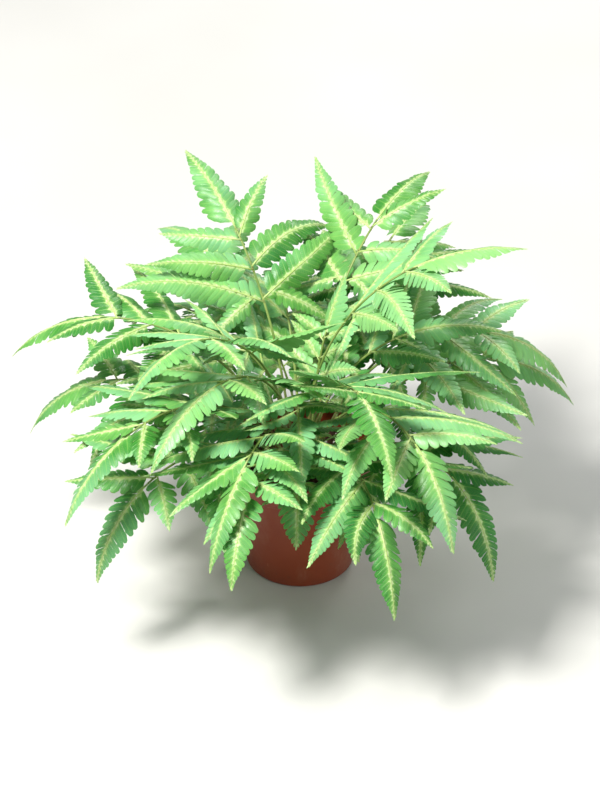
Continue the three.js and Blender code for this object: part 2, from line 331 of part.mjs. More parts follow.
    [1, 41.0, 56.9, 17.7, 37.8, 6.9, 36.3, 12.3, 0.0],
  ] },
  { az: -91.3, bz: -134.6, rb: 19.5, zb: 89.5, e0: 57.0, e1: -8.8, L: 95.5, sway: -24.5, roll: -12.8, fold: -7.9, wt: 9.6, st: 56.5, sf: 6.0, af: 58.0, p: [
    [-1, 52.0, 49.1, -1.6, 30.9, 6.2, 19.1, 11.6, 0.0],
    [1, 54.5, 62.1, 2.4, 25.8, 5.6, 27.6, 0.8, 0.0],
    [-1, 42.0, 57.3, -4.8, 35.8, 6.7, 15.3, 19.0, 0.0],
    [1, 44.5, 58.5, 8.4, 34.2, 6.5, 22.5, 19.9, 0.0],
    [-1, 32.0, 65.9, 3.9, 42.4, 7.5, 30.5, 3.1, 0.0],
    [1, 34.5, 49.2, 2.8, 36.9, 6.8, 23.8, 9.2, 0.0],
  ] },
];

// A young frond, half unrolled, and two croziers, which have a coil radius and no blade yet.
const YOUNG_FROND = { az: -82.1, bz: -84.0, rb: 9.5, zb: 92.0, e0: 73.1, e1: 5.2, L: 105.0, sway: 6.4, roll: -1.0, fold: -24.0, wt: 5.0, st: 86.0, sf: 9.0, af: 60.0, p: [
    [-1, 80.8, 55.0, 10.0, 14.0, 4.6, 64.0, 14.0, 0.0],
    [1, 83.2, 49.0, 10.0, 16.0, 4.6, 76.0, -14.0, 0.0],
    [-1, 71.8, 61.0, 6.0, 18.0, 4.6, 64.0, 14.0, 0.0],
    [1, 74.2, 55.0, 6.0, 20.0, 4.6, 76.0, -14.0, 0.0],
    [-1, 61.8, 67.0, 2.0, 20.0, 4.6, 64.0, 14.0, 0.0],
    [1, 64.2, 61.0, 2.0, 22.0, 4.6, 76.0, -14.0, 0.0],
  ] };
const CROZIERS = [
  { az: -20.3, bz: -20.0, rb: 9.5, zb: 92.0, e0: 78.4, e1: 39.7, L: 60.0, sway: 6.0, roll: -2.1, fold: 0.0, wt: 6.0, st: 52.0, sf: 9.0, af: 60.0, coil: 6.4, p: [] },
  { az: 147.6, bz: 150.0, rb: 9.5, zb: 92.0, e0: 73.4, e1: 31.4, L: 74.0, sway: 3.3, roll: -1.7, fold: 0.0, wt: 6.0, st: 66.0, sf: 9.0, af: 60.0, coil: 5.6, p: [] },
];

// ---------------------------------------------------------------- helpers
const RAD = Math.PI / 180;
const LINE_STEPS = 40;         // steps along a frond's centre line
const PINNA_STEPS = 14;        // steps along a pinna's centre line
const SHORTEST_EDGE = 0.02;

function solid(geometry) {
  const g = geometry.index ? geometry.clone() : geometry;
  for (const name of Object.keys(g.attributes)) if (name !== 'position') g.deleteAttribute(name);
  const merged = mergeVertices(g, 1e-4);
  const position = merged.getAttribute('position').array;
  const index = merged.index.array;
  const triangles = [];
  for (let i = 0; i < index.length; i += 3) {
    const [a, b, c] = [index[i], index[i + 1], index[i + 2]];
    if (a !== b && b !== c && c !== a) triangles.push(a, b, c);
  }
  return new wasm.Manifold(new wasm.Mesh({
    numProp: 3,
    vertProperties: Float32Array.from(position),
    triVerts: Uint32Array.from(triangles),
  }));
}

function geometryOf(manifold) {
  const mesh = manifold.getMesh();
  const geometry = new THREE.BufferGeometry();
  const position = new Float32Array(mesh.numVert * 3);
  for (let i = 0; i < mesh.numVert; i++) {
    for (let k = 0; k < 3; k++) position[3 * i + k] = mesh.vertProperties[i * mesh.numProp + k];
  }
  geometry.setAttribute('position', new THREE.BufferAttribute(position, 3));
  geometry.setIndex(withoutShortEdges(position, outerShells(position, mesh.triVerts)));
  geometry.computeVertexNormals();
  return geometry;
}

// The triangles without the shells that face inwards: a leaf has no closed pocket inside it.
function outerShells(position, triangles) {
  const parent = Array.from({ length: position.length / 3 }, (_, i) => i);
  const root = (i) => {
    while (parent[i] !== i) i = parent[i] = parent[parent[i]];
    return i;
  };
  for (let i = 0; i < triangles.length; i += 3) {
    parent[root(triangles[i])] = root(triangles[i + 1]);
    parent[root(triangles[i + 1])] = root(triangles[i + 2]);
  }
  const volume = new Map();
  const at = (i) => new THREE.Vector3().fromArray(position, 3 * i);
  for (let i = 0; i < triangles.length; i += 3) {
    const r = root(triangles[i]);
    const v = at(triangles[i]).dot(at(triangles[i + 1]).cross(at(triangles[i + 2]))) / 6;
    volume.set(r, (volume.get(r) ?? 0) + v);
  }
  const kept = [];
  for (let i = 0; i < triangles.length; i += 3) {
    if (volume.get(root(triangles[i])) > 0) kept.push(triangles[i], triangles[i + 1], triangles[i + 2]);
  }
  return kept;
}

// The triangles with every edge under SHORTEST_EDGE closed up to a point.
function withoutShortEdges(position, triangles) {
  const to = Array.from({ length: position.length / 3 }, (_, i) => i);
  const end = (i) => {
    while (to[i] !== i) i = to[i];
    return i;
  };
  const at = (i) => new THREE.Vector3().fromArray(position, 3 * i);
  for (let i = 0; i < triangles.length; i++) {
    const a = end(triangles[i]);
    const b = end(triangles[i % 3 === 2 ? i - 2 : i + 1]);
    if (a !== b && at(a).distanceTo(at(b)) < SHORTEST_EDGE) to[Math.max(a, b)] = Math.min(a, b);
  }
  const kept = [];
  for (let i = 0; i < triangles.length; i += 3) {
    const [a, b, c] = [end(triangles[i]), end(triangles[i + 1]), end(triangles[i + 2])];
    if (a !== b && b !== c && c !== a) kept.push(a, b, c);
  }
  return kept;
}

// The frame of a leaf at a heading, a rise above level and a bank, all in radians:
// D runs along it, N is its upper face and S its right-hand side.
function frame(heading, rise, bank) {
  const [ca, sa, ce, se] = [Math.cos(heading), Math.sin(heading), Math.cos(rise), Math.sin(rise)];
  const [cb, sb] = [Math.cos(bank), Math.sin(bank)];
  const D = new THREE.Vector3(ce * ca, ce * sa, se);
  const up = new THREE.Vector3(-se * ca, -se * sa, ce);
  const side = new THREE.Vector3(sa, -ca, 0);
  const N = up.clone().multiplyScalar(cb).addScaledVector(side, sb);
  const S = side.clone().multiplyScalar(cb).addScaledVector(up, -sb);
  return { D, N, S };
}

// A line that starts at a point and turns as turn(t) says, t from 0 to 1.
function trace(start, length, steps, turn) {
  const points = [start.clone()];
  for (let k = 0; k < steps; k++) {
    const { D } = frame(...turn((k + 0.5) / steps));
    points.push(points[k].clone().addScaledVector(D, length / steps));
  }
  return { points, length, turn };
}

function along(line, s) {
  const steps = line.points.length - 1;
  const x = Math.min(Math.max(s / line.length, 0), 1) * steps;
  const k = Math.min(Math.floor(x), steps - 1);
  const P = line.points[k].clone().lerp(line.points[k + 1], x - k);
  return { P, ...frame(...line.turn(Math.min(s / line.length, 1))) };
}

function frondLine(f) {
  const bend = (t) => Math.max(0, (t - 0.1) / 0.9) ** 1.25;
  const start = new THREE.Vector3(f.rb * Math.cos(f.bz * RAD), f.rb * Math.sin(f.bz * RAD), f.zb);
  return trace(start, f.L, LINE_STEPS, (t) => [
    (f.az + f.sway * t ** 1.3) * RAD,
    (f.e0 + (f.e1 - f.e0) * bend(t)) * RAD,
    f.roll * Math.min(1, t * 1.6) * RAD,
  ]);
}

// A side pinna's centre line: it leaves along D0 with its upper face near N0, droops
// under its weight, and its face turns back towards the light on the way out.
function pinnaLine(P0, D0, N0, length, droop, curl) {
  const rise0 = Math.asin(Math.min(1, Math.max(-1, D0.z)));
  const heading0 = Math.atan2(D0.y, D0.x);
  const face = N0.clone().addScaledVector(D0, -N0.dot(D0)).normalize();
  const level = frame(heading0, rise0, 0);
  const bank0 = Math.atan2(face.dot(level.S), face.dot(level.N));
  return trace(P0, length, PINNA_STEPS, (t) => [
    heading0 + curl * RAD * t ** 1.5,
    Math.max(-84 * RAD, rise0 - droop * RAD * t ** 1.2),
    bank0 * (1 - 0.5 * t),
  ]);
}

// A thin leaf blade along a line: thickest at its midrib, sharp at both edges and at its tip.
// Its edges sweep forward as its pinnules do, and its stalk is slim up to stalkEnd.
function bladeGeometry(line, s0, length, halfWidth, outline, fold, neck, stalkEnd = 0) {
  const position = [];
  const index = [];
  const ring = (s, w, up, down, sweep) => {
    const { P, N } = along(line, s);
    const edge = along(line, s + sweep * w);
    const c = Math.cos(fold * RAD) * w;
    const d = Math.sin(fold * RAD) * w;
    const p = [
      edge.P.clone().addScaledVector(edge.S, c).addScaledVector(edge.N, d),
      P.clone().addScaledVector(N, up),
      edge.P.clone().addScaledVector(edge.S, -c).addScaledVector(edge.N, d),
      P.clone().addScaledVector(N, -down),
    ];
    for (const q of p) position.push(q.x, q.y, q.z);
  };
  ring(s0, neck, neck * 0.8, neck * 0.8, 0);
  if (stalkEnd > 0) ring(s0 + stalkEnd, PETIOLULE_R, PETIOLULE_R * 0.8, PETIOLULE_R, 0);
  outline.at.forEach((u, k) => ring(s0 + u * length, halfWidth * outline.width[k], MIDRIB_UP, MIDRIB_DOWN, SWEEP));
  const rings = outline.at.length + (stalkEnd > 0 ? 2 : 1);
  index.push(0, 1, 2, 0, 2, 3);
  for (let k = 0; k + 1 < rings; k++) {
    for (let i = 0; i < 4; i++) {
      const [a, b, c, d] = [4 * k + i, 4 * k + ((i + 1) % 4), 4 * k + 4 + ((i + 1) % 4), 4 * k + 4 + i];
      if (i % 2 === 0) index.push(a, d, c, a, c, b); // both faces fold from an edge to the next ring's midrib
      else index.push(a, d, b, b, d, c);
    }
  }
  const tip = along(line, s0 + length).P;
  position.push(tip.x, tip.y, tip.z);
  for (let i = 0; i < 4; i++) index.push(4 * (rings - 1) + i, 4 * rings, 4 * (rings - 1) + ((i + 1) % 4));
  const geometry = new THREE.BufferGeometry();
  geometry.setAttribute('position', new THREE.Float32BufferAttribute(position, 3));
  geometry.setIndex(index);
  return geometry;
}

function tubeGeometry(line, s1, radius, sides, steps) {
  const points = [];
  for (let k = 0; k <= steps; k++) points.push(along(line, (s1 * k) / steps).P);
  const section = new THREE.Shape();
  for (let k = 0; k < sides; k++) {
    const a = (2 * Math.PI * (k + 0.5)) / sides;
    if (k === 0) section.moveTo(radius * Math.cos(a), radius * Math.sin(a));
    else section.lineTo(radius * Math.cos(a), radius * Math.sin(a));
  }
  section.closePath();
  return new THREE.ExtrudeGeometry(section, {
    steps, bevelEnabled: false, curveSegments: 1, extrudePath: new THREE.CatmullRomCurve3(points),
  });
}

function frondSolid(f) {
  const line = frondLine(f);
  let body = solid(tubeGeometry(line, f.st + 4, STALK_R, 4, f.steps ?? 8));
  body = body.add(solid(bladeGeometry(line, f.st, f.L - f.st, f.wt, END_PINNA, f.fold, 1.0)));
  for (const [side, s, angle, lift, length, width, droop, curl, fork] of f.p) {
    const { P, D, N, S } = along(line, s);
    const D0 = D.clone().multiplyScalar(Math.cos(lift * RAD) * Math.cos(angle * RAD))
      .addScaledVector(S, side * Math.cos(lift * RAD) * Math.sin(angle * RAD))
      .addScaledVector(N, Math.sin(lift * RAD));
    const pinna = pinnaLine(P, D0, N, length, droop, -side * curl);
    body = body.add(solid(bladeGeometry(pinna, 0, length, width, SIDE_PINNA, f.fold, 0.5, Math.min(PETIOLULE, length * 0.05))));
    if (fork > 0) {
      const at = along(pinna, f.sf);
      const basal = at.S.dot(D) > 0 ? -1 : 1;
      const D1 = at.D.clone().multiplyScalar(Math.cos(f.af * RAD)).addScaledVector(at.S, basal * Math.sin(f.af * RAD));
      const small = pinnaLine(at.P, D1, at.N, fork, droop * 0.7, side * curl * 0.5);
      body = body.add(solid(bladeGeometry(small, 0, fork, fork * 0.17, FORK_PINNA, f.fold, 0.8)));
    }
  }
  return body;
}

// A crozier: a stalk with its tip still rolled up.
function crozierSolid(f) {
  const line = frondLine(f);
  const end = along(line, f.L);
  const curl = new THREE.SphereGeometry(1, 8, 6);
  curl.applyMatrix4(new THREE.Matrix4().makeBasis(
    end.D.clone().multiplyScalar(f.coil), end.N.clone().multiplyScalar(f.coil), end.S.clone().multiplyScalar(f.coil * 0.42)));
  const centre = end.P.clone().addScaledVector(end.N, -f.coil * 0.7);
  curl.translate(centre.x, centre.y, centre.z);
  return solid(tubeGeometry(line, f.L, STALK_R * 1.25, 5, 6)).add(solid(curl));
}

// The socket that a stalk stands in: a straight round hole along the stalk's first stretch.
function socketSolid(f, radius) {
  const line = frondLine(f);
  const { P, D } = along(line, 0);
  const length = 18;
  const hole = new THREE.CylinderGeometry(radius, radius, length, 6);
  hole.applyQuaternion(new THREE.Quaternion().setFromUnitVectors(new THREE.Vector3(0, 1, 0), D));
  const centre = P.clone().addScaledVector(D, length / 2 - GAP);
  hole.translate(centre.x, centre.y, centre.z);
  return solid(hole);
}

function latheSolid(profile, sides) {
  const geometry = new THREE.LatheGeometry(profile.map(([r, z]) => new THREE.Vector2(r, z)), sides);
  geometry.rotateX(Math.PI / 2);
  return solid(geometry);
}

// ---------------------------------------------------------------- pot
const coneR = (z) => POT_BASE_R + ((POT_TOP_R - COLLAR_STEP - 1.6 - POT_BASE_R) * z) / POT_HEIGHT;

function potSolid() {
  const innerLedge = COLLAR_Z + 1.4;
  const profile = [
    [0, 0],
    [POT_BASE_R - 1.6, 0],
    [POT_BASE_R, 1.6],
    [coneR(COLLAR_Z), COLLAR_Z],
    [coneR(COLLAR_Z) + COLLAR_STEP - 0.6, COLLAR_Z],
    [coneR(COLLAR_Z) + COLLAR_STEP, COLLAR_Z + 0.6],
    [POT_TOP_R - 1.0, POT_HEIGHT - 3.0],
    [POT_TOP_R, POT_HEIGHT - 2.4],
    [POT_TOP_R, POT_HEIGHT - 0.7],
    [POT_TOP_R - 0.7, POT_HEIGHT],
    [POT_TOP_R - 1.9, POT_HEIGHT],
    [POT_TOP_R - 2.6, POT_HEIGHT - 0.8],
    [coneR(COLLAR_Z) + COLLAR_STEP - POT_WALL, innerLedge + 0.8],
    [coneR(innerLedge) - POT_WALL + 0.4, innerLedge - 0.4],
    [POT_BASE_R - POT_WALL, POT_FLOOR + 2.0],
    [POT_BASE_R - POT_WALL - 2.2, POT_FLOOR],
    [0, POT_FLOOR],
  ];
  let pot = latheSolid(profile, POT_SIDES);
  for (let k = 0; k < DRAIN_HOLES; k++) {
    const a = (2 * Math.PI * (k + 0.5)) / DRAIN_HOLES;
    const hole = new THREE.CylinderGeometry(DRAIN_HOLE_R, DRAIN_HOLE_R, 6, 12);
    hole.rotateX(Math.PI / 2);
    hole.translate(DRAIN_RING_R * Math.cos(a), DRAIN_RING_R * Math.sin(a), POT_FLOOR / 2);
    pot = pot.subtract(solid(hole));
  }
  return pot;
}

// ---------------------------------------------------------------- potting mix and rhizome
function soilSolid(cutters) {
  const ledge = COLLAR_Z + 1.4;
  const profile = [
    [0, POT_FLOOR + GAP],
    [POT_BASE_R - POT_WALL - 2.6, POT_FLOOR + GAP],
    [POT_BASE_R - POT_WALL - GAP - 0.1, POT_FLOOR + 2.3],
    [coneR(ledge) - POT_WALL - GAP - 0.1, ledge - 0.6],
    [coneR(COLLAR_Z) + COLLAR_STEP - POT_WALL - GAP - 0.5, ledge + 1.6],
    [coneR(COLLAR_Z) + COLLAR_STEP - POT_WALL - GAP, SOIL_Z],
    [44, SOIL_Z + 0.7],
    [32, SOIL_Z + 1.6],
    [0, SOIL_Z + SOIL_MOUND],
  ];
  let soil = latheSolid(profile, POT_SIDES);
  for (const c of cutters) soil = soil.subtract(c);
  return soil;
}

function rhizomeGeometry(grow) {
  const geometry = new THREE.SphereGeometry(1, 18, 10);
  geometry.rotateX(Math.PI / 2);
  const p = geometry.getAttribute('position');
  for (let i = 0; i < p.count; i++) {
    const [x, y, z] = [p.getX(i), p.getY(i), p.getZ(i)];
    const lump = 1 + 0.05 * Math.sin(5 * x + 1.3) * Math.cos(4.3 * y - 0.6) + 0.035 * Math.sin(7 * y + 5 * z);
    p.setXYZ(i, x * (RHIZOME_R[0] * lump + grow), y * (RHIZOME_R[1] * lump + grow), z * (RHIZOME_R[2] * lump + grow) + RHIZOME_Z);
  }
  return geometry;
}

// ---------------------------------------------------------------- the plant in its pot
const plant = new THREE.Group();
plant.name = 'potted_variegated_holly_fern';

function addPiece(name, manifold, material) {
  const mesh = new THREE.Mesh(geometryOf(manifold), material);
  mesh.name = name;
  plant.add(mesh);
}

const leafGreen = (k) => new THREE.MeshStandardMaterial({
  color: new THREE.Color().setHSL(0.3 + 0.012 * Math.sin(k * 2.1), 0.42, 0.47 + 0.03 * Math.cos(k * 1.7)), roughness: 0.42, metalness: 0,
});

addPiece('pot', potSolid(), new THREE.MeshStandardMaterial({ color: 0x9a4a2c, roughness: 0.5, metalness: 0 }));

const everyStalk = [...FRONDS, YOUNG_FROND, ...CROZIERS];
const sockets = everyStalk.map((f) => socketSolid(f, f.coil ? SOCKET_R + 0.4 : SOCKET_R));
addPiece('potting_mix', soilSolid([solid(rhizomeGeometry(GAP)), ...sockets]), new THREE.MeshStandardMaterial({ color: 0x2f2218, roughness: 0.95, metalness: 0 }));

let rhizome = solid(rhizomeGeometry(0));
for (const socket of sockets) rhizome = rhizome.subtract(socket);
addPiece('rhizome', rhizome, new THREE.MeshStandardMaterial({ color: 0x5a3b22, roughness: 0.9, metalness: 0 }));

FRONDS.forEach((f, k) => addPiece(`frond_${String(k + 1).padStart(2, '0')}`, frondSolid(f), leafGreen(k)));
addPiece('young_frond', frondSolid({ ...YOUNG_FROND, steps: 7 }), new THREE.MeshStandardMaterial({ color: 0xbfe3a0, roughness: 0.45, metalness: 0 }));
CROZIERS.forEach((f, k) => addPiece(`crozier_${k + 1}`, crozierSolid(f), new THREE.MeshStandardMaterial({ color: 0x8fae62, roughness: 0.6, metalness: 0 })));

export default plant;
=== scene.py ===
# Potted variegated East Indian holly fern: the looks.
# Lengths of the plant's own tables are millimetres and angles degrees, as in the construction;
# everything that goes into the scene is metres.
import math
import bpy
import bmesh
import mathutils
import numpy as np
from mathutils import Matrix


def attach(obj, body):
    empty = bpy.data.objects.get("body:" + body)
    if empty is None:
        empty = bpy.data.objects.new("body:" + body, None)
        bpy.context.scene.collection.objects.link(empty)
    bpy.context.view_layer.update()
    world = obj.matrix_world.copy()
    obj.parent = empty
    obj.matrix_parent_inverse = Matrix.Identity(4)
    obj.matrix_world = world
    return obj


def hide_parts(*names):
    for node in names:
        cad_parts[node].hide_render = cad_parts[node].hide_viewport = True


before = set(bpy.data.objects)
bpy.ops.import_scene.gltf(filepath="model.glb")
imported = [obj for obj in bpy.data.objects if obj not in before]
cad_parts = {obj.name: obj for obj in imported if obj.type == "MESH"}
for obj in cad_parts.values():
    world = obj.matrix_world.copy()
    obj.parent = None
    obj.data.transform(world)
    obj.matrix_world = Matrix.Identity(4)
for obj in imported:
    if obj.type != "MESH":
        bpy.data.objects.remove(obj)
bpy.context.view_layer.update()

RAD = math.pi / 180
MM = 0.001



# ---------------------------------------------------------------- the fronds, as in the construction
# az heading; bz, rb, zb bearing, radius and height of the foot; e0, e1 rise at foot and tip; L whole length; sway turn of the
# heading; roll bank; fold drop of a pinna's halves; wt half width and st start of the end pinna; sf, af place and angle of the
# enlarged pinnule; p side pinnae: side, distance, angle, lift, length, half width, droop, curl, length of the enlarged pinnule.
FRONDS = [
    dict(az=-33.2, bz=-30.2, rb=18.0, zb=91.0, e0=46.7, e1=-81.4, L=241.0, sway=-30.1, roll=-0.2, fold=-7.8, wt=16.2, st=152.7, sf=9.0, af=59.8, p=[
        [-1, 142.6, 43.7, 4.8, 55.3, 11.6, 25.0, 13.1, 0.0],
        [1, 145.6, 55.2, 5.7, 59.7, 12.1, 34.9, 0.9, 0.0],
        [-1, 116.6, 58.6, 11.0, 81.2, 13.2, 28.2, -0.2, 0.0],
        [1, 119.6, 45.6, -10.7, 97.3, 14.3, 34.4, 3.6, 0.0],
        [-1, 89.7, 53.0, -11.7, 111.9, 14.5, 36.6, 15.1, 49.4],
        [1, 92.7, 82.7, -13.7, 103.2, 15.4, 21.1, -8.9, 51.6]]),
    dict(az=-67.8, bz=-71.0, rb=18.0, zb=91.0, e0=50.8, e1=-71.8, L=263.8, sway=-10.3, roll=-12.2, fold=-11.5, wt=15.5, st=180.1, sf=9.0, af=57.9, p=[
        [-1, 170.3, 42.0, 15.9, 60.7, 12.1, 23.2, -27.6, 0.0],
        [1, 173.3, 46.4, 9.0, 61.9, 12.1, 39.3, -32.3, 0.0],
        [-1, 145.6, 55.0, -0.9, 82.8, 13.4, 12.9, 8.9, 0.0],
        [1, 148.6, 46.2, -7.3, 88.3, 14.1, 33.1, -0.2, 0.0],
        [-1, 120.0, 56.2, 15.6, 93.2, 14.3, 16.3, -4.9, 44.3],
        [1, 123.0, 48.5, -0.3, 90.7, 14.2, 22.9, -16.1, 57.1]]),
    dict(az=-102.9, bz=-114.5, rb=18.0, zb=91.0, e0=57.6, e1=-64.6, L=255.5, sway=1.1, roll=5.3, fold=-6.7, wt=14.8, st=176.9, sf=9.0, af=59.5, p=[
        [-1, 167.5, 54.0, 18.8, 56.4, 11.8, 28.3, 8.9, 0.0],
        [1, 170.5, 34.3, -13.0, 55.5, 12.0, 24.8, 4.2, 0.0],
        [-1, 143.8, 46.8, 24.9, 76.1, 13.2, 53.8, -12.0, 0.0],
        [1, 146.8, 59.4, -2.5, 76.7, 13.2, 31.3, -17.8, 0.0],
        [-1, 119.2, 73.8, 6.6, 92.2, 14.5, 17.6, -34.8, 46.5],
        [1, 122.2, 57.2, -5.3, 95.7, 13.9, -2.0, -1.6, 56.1]]),
    dict(az=-140.0, bz=-151.4, rb=18.0, zb=91.0, e0=43.8, e1=-79.3, L=238.5, sway=7.1, roll=-10.3, fold=-11.5, wt=16.2, st=151.4, sf=9.0, af=62.1, p=[
        [-1, 141.3, 58.1, 8.8, 51.7, 11.3, 25.9, -1.6, 0.0],
        [1, 144.3, 46.5, 6.0, 69.3, 12.7, 20.8, 18.4, 0.0],
        [-1, 115.4, 72.1, -3.2, 71.7, 12.9, 39.1, 5.7, 0.0],
        [1, 118.4, 67.4, -8.3, 93.5, 14.5, 3.8, 3.7, 0.0],
        [-1, 88.6, 59.3, -0.6, 110.4, 15.4, 36.4, -6.1, 55.6],
        [1, 91.6, 78.0, 2.0, 91.3, 14.5, 59.0, -18.1, 55.5]]),
    dict(az=165.2, bz=173.7, rb=18.0, zb=91.0, e0=43.8, e1=-69.4, L=245.1, sway=5.1, roll=-8.2, fold=-5.4, wt=15.5, st=154.3, sf=9.0, af=63.5, p=[
        [-1, 144.5, 50.7, 10.8, 51.0, 11.2, 19.2, 6.5, 0.0],
        [1, 147.5, 57.9, 9.8, 58.1, 11.9, 11.7, -7.0, 0.0],
        [-1, 119.8, 64.0, 0.1, 88.1, 13.9, 54.1, 2.2, 0.0],
        [1, 122.8, 48.4, -3.4, 68.3, 12.5, 45.9, 28.3, 0.0],
        [-1, 94.1, 55.4, 4.1, 105.9, 15.5, 37.6, -14.3, 54.7],
        [1, 97.1, 72.8, -9.6, 94.0, 14.2, 54.0, 2.2, 45.4]]),
    dict(az=128.5, bz=132.0, rb=18.0, zb=91.0, e0=55.8, e1=-66.0, L=239.3, sway=7.1, roll=9.5, fold=-10.6, wt=16.4, st=147.6, sf=9.0, af=57.5, p=[
        [-1, 137.3, 62.8, -14.4, 66.2, 12.7, 37.4, -13.2, 0.0],
        [1, 140.3, 46.1, -15.1, 72.5, 12.8, 38.9, 5.1, 0.0],
        [-1, 111.1, 62.7, 6.4, 95.3, 14.6, 40.9, 2.4, 0.0],
        [1, 114.1, 62.6, 1.0, 84.2, 14.0, 8.3, -30.0, 0.0],
        [-1, 83.8, 78.9, 5.7, 107.1, 15.3, 28.4, -29.4, 53.6],
        [1, 86.8, 60.5, 8.3, 96.1, 14.6, 31.1, 0.7, 55.9]]),
    dict(az=87.0, bz=89.2, rb=18.0, zb=91.0, e0=47.6, e1=-72.0, L=239.5, sway=-5.7, roll=-10.1, fold=-7.5, wt=15.3, st=150.7, sf=9.0, af=59.3, p=[
        [-1, 141.1, 50.9, 12.9, 54.4, 11.4, 53.3, 18.1, 0.0],
        [1, 144.1, 46.9, 8.7, 66.2, 12.2, 37.2, 11.2, 0.0],
        [-1, 116.6, 71.8, -3.0, 87.7, 14.0, 56.1, -0.5, 0.0],
        [1, 119.6, 68.8, 10.3, 73.6, 12.7, 39.7, -7.4, 0.0],
        [-1, 91.1, 48.7, 6.6, 90.8, 14.4, 31.6, 5.5, 52.3],
        [1, 94.1, 55.7, 9.2, 96.3, 15.0, 14.5, 2.8, 50.7]]),
    dict(az=48.2, bz=44.6, rb=18.0, zb=91.0, e0=45.6, e1=-72.6, L=239.6, sway=-6.4, roll=4.2, fold=-8.4, wt=16.3, st=149.5, sf=9.0, af=57.0, p=[
        [-1, 139.3, 46.0, 6.9, 68.5, 12.7, 25.5, -5.1, 0.0],
        [1, 142.3, 46.7, 2.2, 70.8, 12.9, 17.9, 4.4, 0.0],
        [-1, 113.3, 69.9, -7.2, 94.3, 14.5, 54.4, 24.6, 0.0],
        [1, 116.3, 66.3, 2.9, 83.5, 13.7, 29.0, 5.2, 0.0],
        [-1, 86.4, 58.6, -3.9, 95.6, 14.5, 22.8, -22.0, 52.1],
        [1, 89.4, 60.6, 8.1, 105.0, 15.3, 43.1, 6.4, 51.1]]),
    dict(az=10.9, bz=11.5, rb=18.0, zb=91.0, e0=54.2, e1=-65.2, L=254.2, sway=1.1, roll=10.6, fold=-12.8, wt=16.2, st=166.1, sf=9.0, af=58.4, p=[
        [-1, 156.0, 46.4, 7.7, 60.6, 12.2, 41.1, 14.9, 0.0],
        [1, 159.0, 49.9, -11.6, 65.3, 12.4, 36.5, -6.3, 0.0],
        [-1, 130.2, 55.7, -0.1, 77.5, 13.4, 47.4, 17.7, 0.0],
        [1, 133.2, 61.6, -0.5, 82.0, 13.3, 23.9, -0.0, 0.0],
        [-1, 103.4, 60.2, 1.1, 96.6, 15.3, 8.8, 12.7, 55.8],
        [1, 106.4, 53.3, 1.3, 101.6, 14.9, 16.5, -14.1, 56.2]]),
    dict(az=-50.8, bz=-54.6, rb=12.0, zb=92.0, e0=65.9, e1=-67.0, L=287.5, sway=-19.7, roll=1.0, fold=-13.3, wt=17.0, st=198.3, sf=9.0, af=59.7, p=[
        [-1, 187.7, 60.5, 13.0, 65.6, 12.3, 23.0, -17.5, 0.0],
        [1, 190.7, 44.7, 3.2, 69.6, 12.6, 10.1, -1.6, 0.0],
        [-1, 160.4, 56.3, 0.5, 100.8, 14.8, 32.7, -7.5, 0.0],
        [1, 163.4, 62.0, 4.3, 89.4, 13.9, 41.7, -17.0, 0.0],
        [-1, 132.1, 53.3, -8.8, 108.1, 15.3, 26.9, -12.1, 56.5],
        [1, 135.1, 49.0, 7.0, 101.5, 15.0, 9.1, -14.4, 55.6]]),
    dict(az=-101.8, bz=-93.5, rb=12.0, zb=92.0, e0=64.2, e1=-71.0, L=270.7, sway=-16.5, roll=23.9, fold=-13.3, wt=16.0, st=178.9, sf=9.0, af=63.4, p=[
        [-1, 168.8, 61.2, 7.9, 63.6, 12.3, 20.5, -0.6, 0.0],
        [1, 171.8, 38.2, 4.4, 70.6, 12.4, 20.2, 7.7, 0.0],
        [-1, 143.2, 45.9, 15.7, 81.8, 13.7, 18.9, -1.8, 0.0],
        [1, 146.2, 66.0, 11.4, 89.9, 14.1, 14.7, -11.6, 0.0],
        [-1, 116.6, 63.2, -14.3, 96.6, 15.0, 13.7, -6.4, 56.9],
        [1, 119.6, 76.1, 9.3, 88.9, 14.1, 23.6, -10.5, 46.1]]),
    dict(az=-140.4, bz=-133.7, rb=12.0, zb=92.0, e0=62.8, e1=-67.9, L=288.9, sway=0.3, roll=14.6, fold=-6.1, wt=15.8, st=197.1, sf=9.0, af=56.7, p=[
        [-1, 187.1, 51.3, 10.0, 57.8, 11.6, 36.8, 0.7, 0.0],
        [1, 190.1, 36.1, 5.7, 60.7, 11.8, 6.9, 2.5, 0.0],
        [-1, 161.8, 71.6, 4.4, 70.1, 12.7, 41.3, -21.7, 0.0],
        [1, 164.8, 74.3, -4.2, 78.4, 13.5, 14.7, -4.9, 0.0],
        [-1, 135.6, 67.3, 9.7, 97.0, 14.9, 0.9, -9.9, 48.2],
        [1, 138.6, 60.4, 3.7, 99.8, 14.9, 18.3, 9.7, 46.6]]),
    dict(az=171.6, bz=168.5, rb=12.0, zb=92.0, e0=67.9, e1=-55.9, L=289.4, sway=-1.4, roll=2.6, fold=-11.9, wt=15.6, st=197.5, sf=9.0, af=59.7, p=[
        [-1, 187.7, 34.7, 11.5, 61.4, 11.7, 44.8, -7.7, 0.0],
        [1, 190.7, 55.9, 17.5, 68.3, 12.5, 3.8, 1.2, 0.0],
        [-1, 162.9, 51.1, -2.3, 82.4, 13.5, 27.3, 10.7, 0.0],
        [1, 165.9, 48.1, 4.1, 88.4, 14.2, 48.7, 0.2, 0.0],
        [-1, 137.1, 73.7, 6.9, 93.4, 14.4, 10.4, 0.2, 47.2],
        [1, 140.1, 61.4, 0.6, 102.1, 15.1, 18.4, -14.0, 48.2]]),
    dict(az=117.4, bz=118.5, rb=12.0, zb=92.0, e0=57.7, e1=-33.8, L=273.5, sway=4.0, roll=-2.0, fold=-5.8, wt=16.1, st=182.5, sf=9.0, af=60.7, p=[
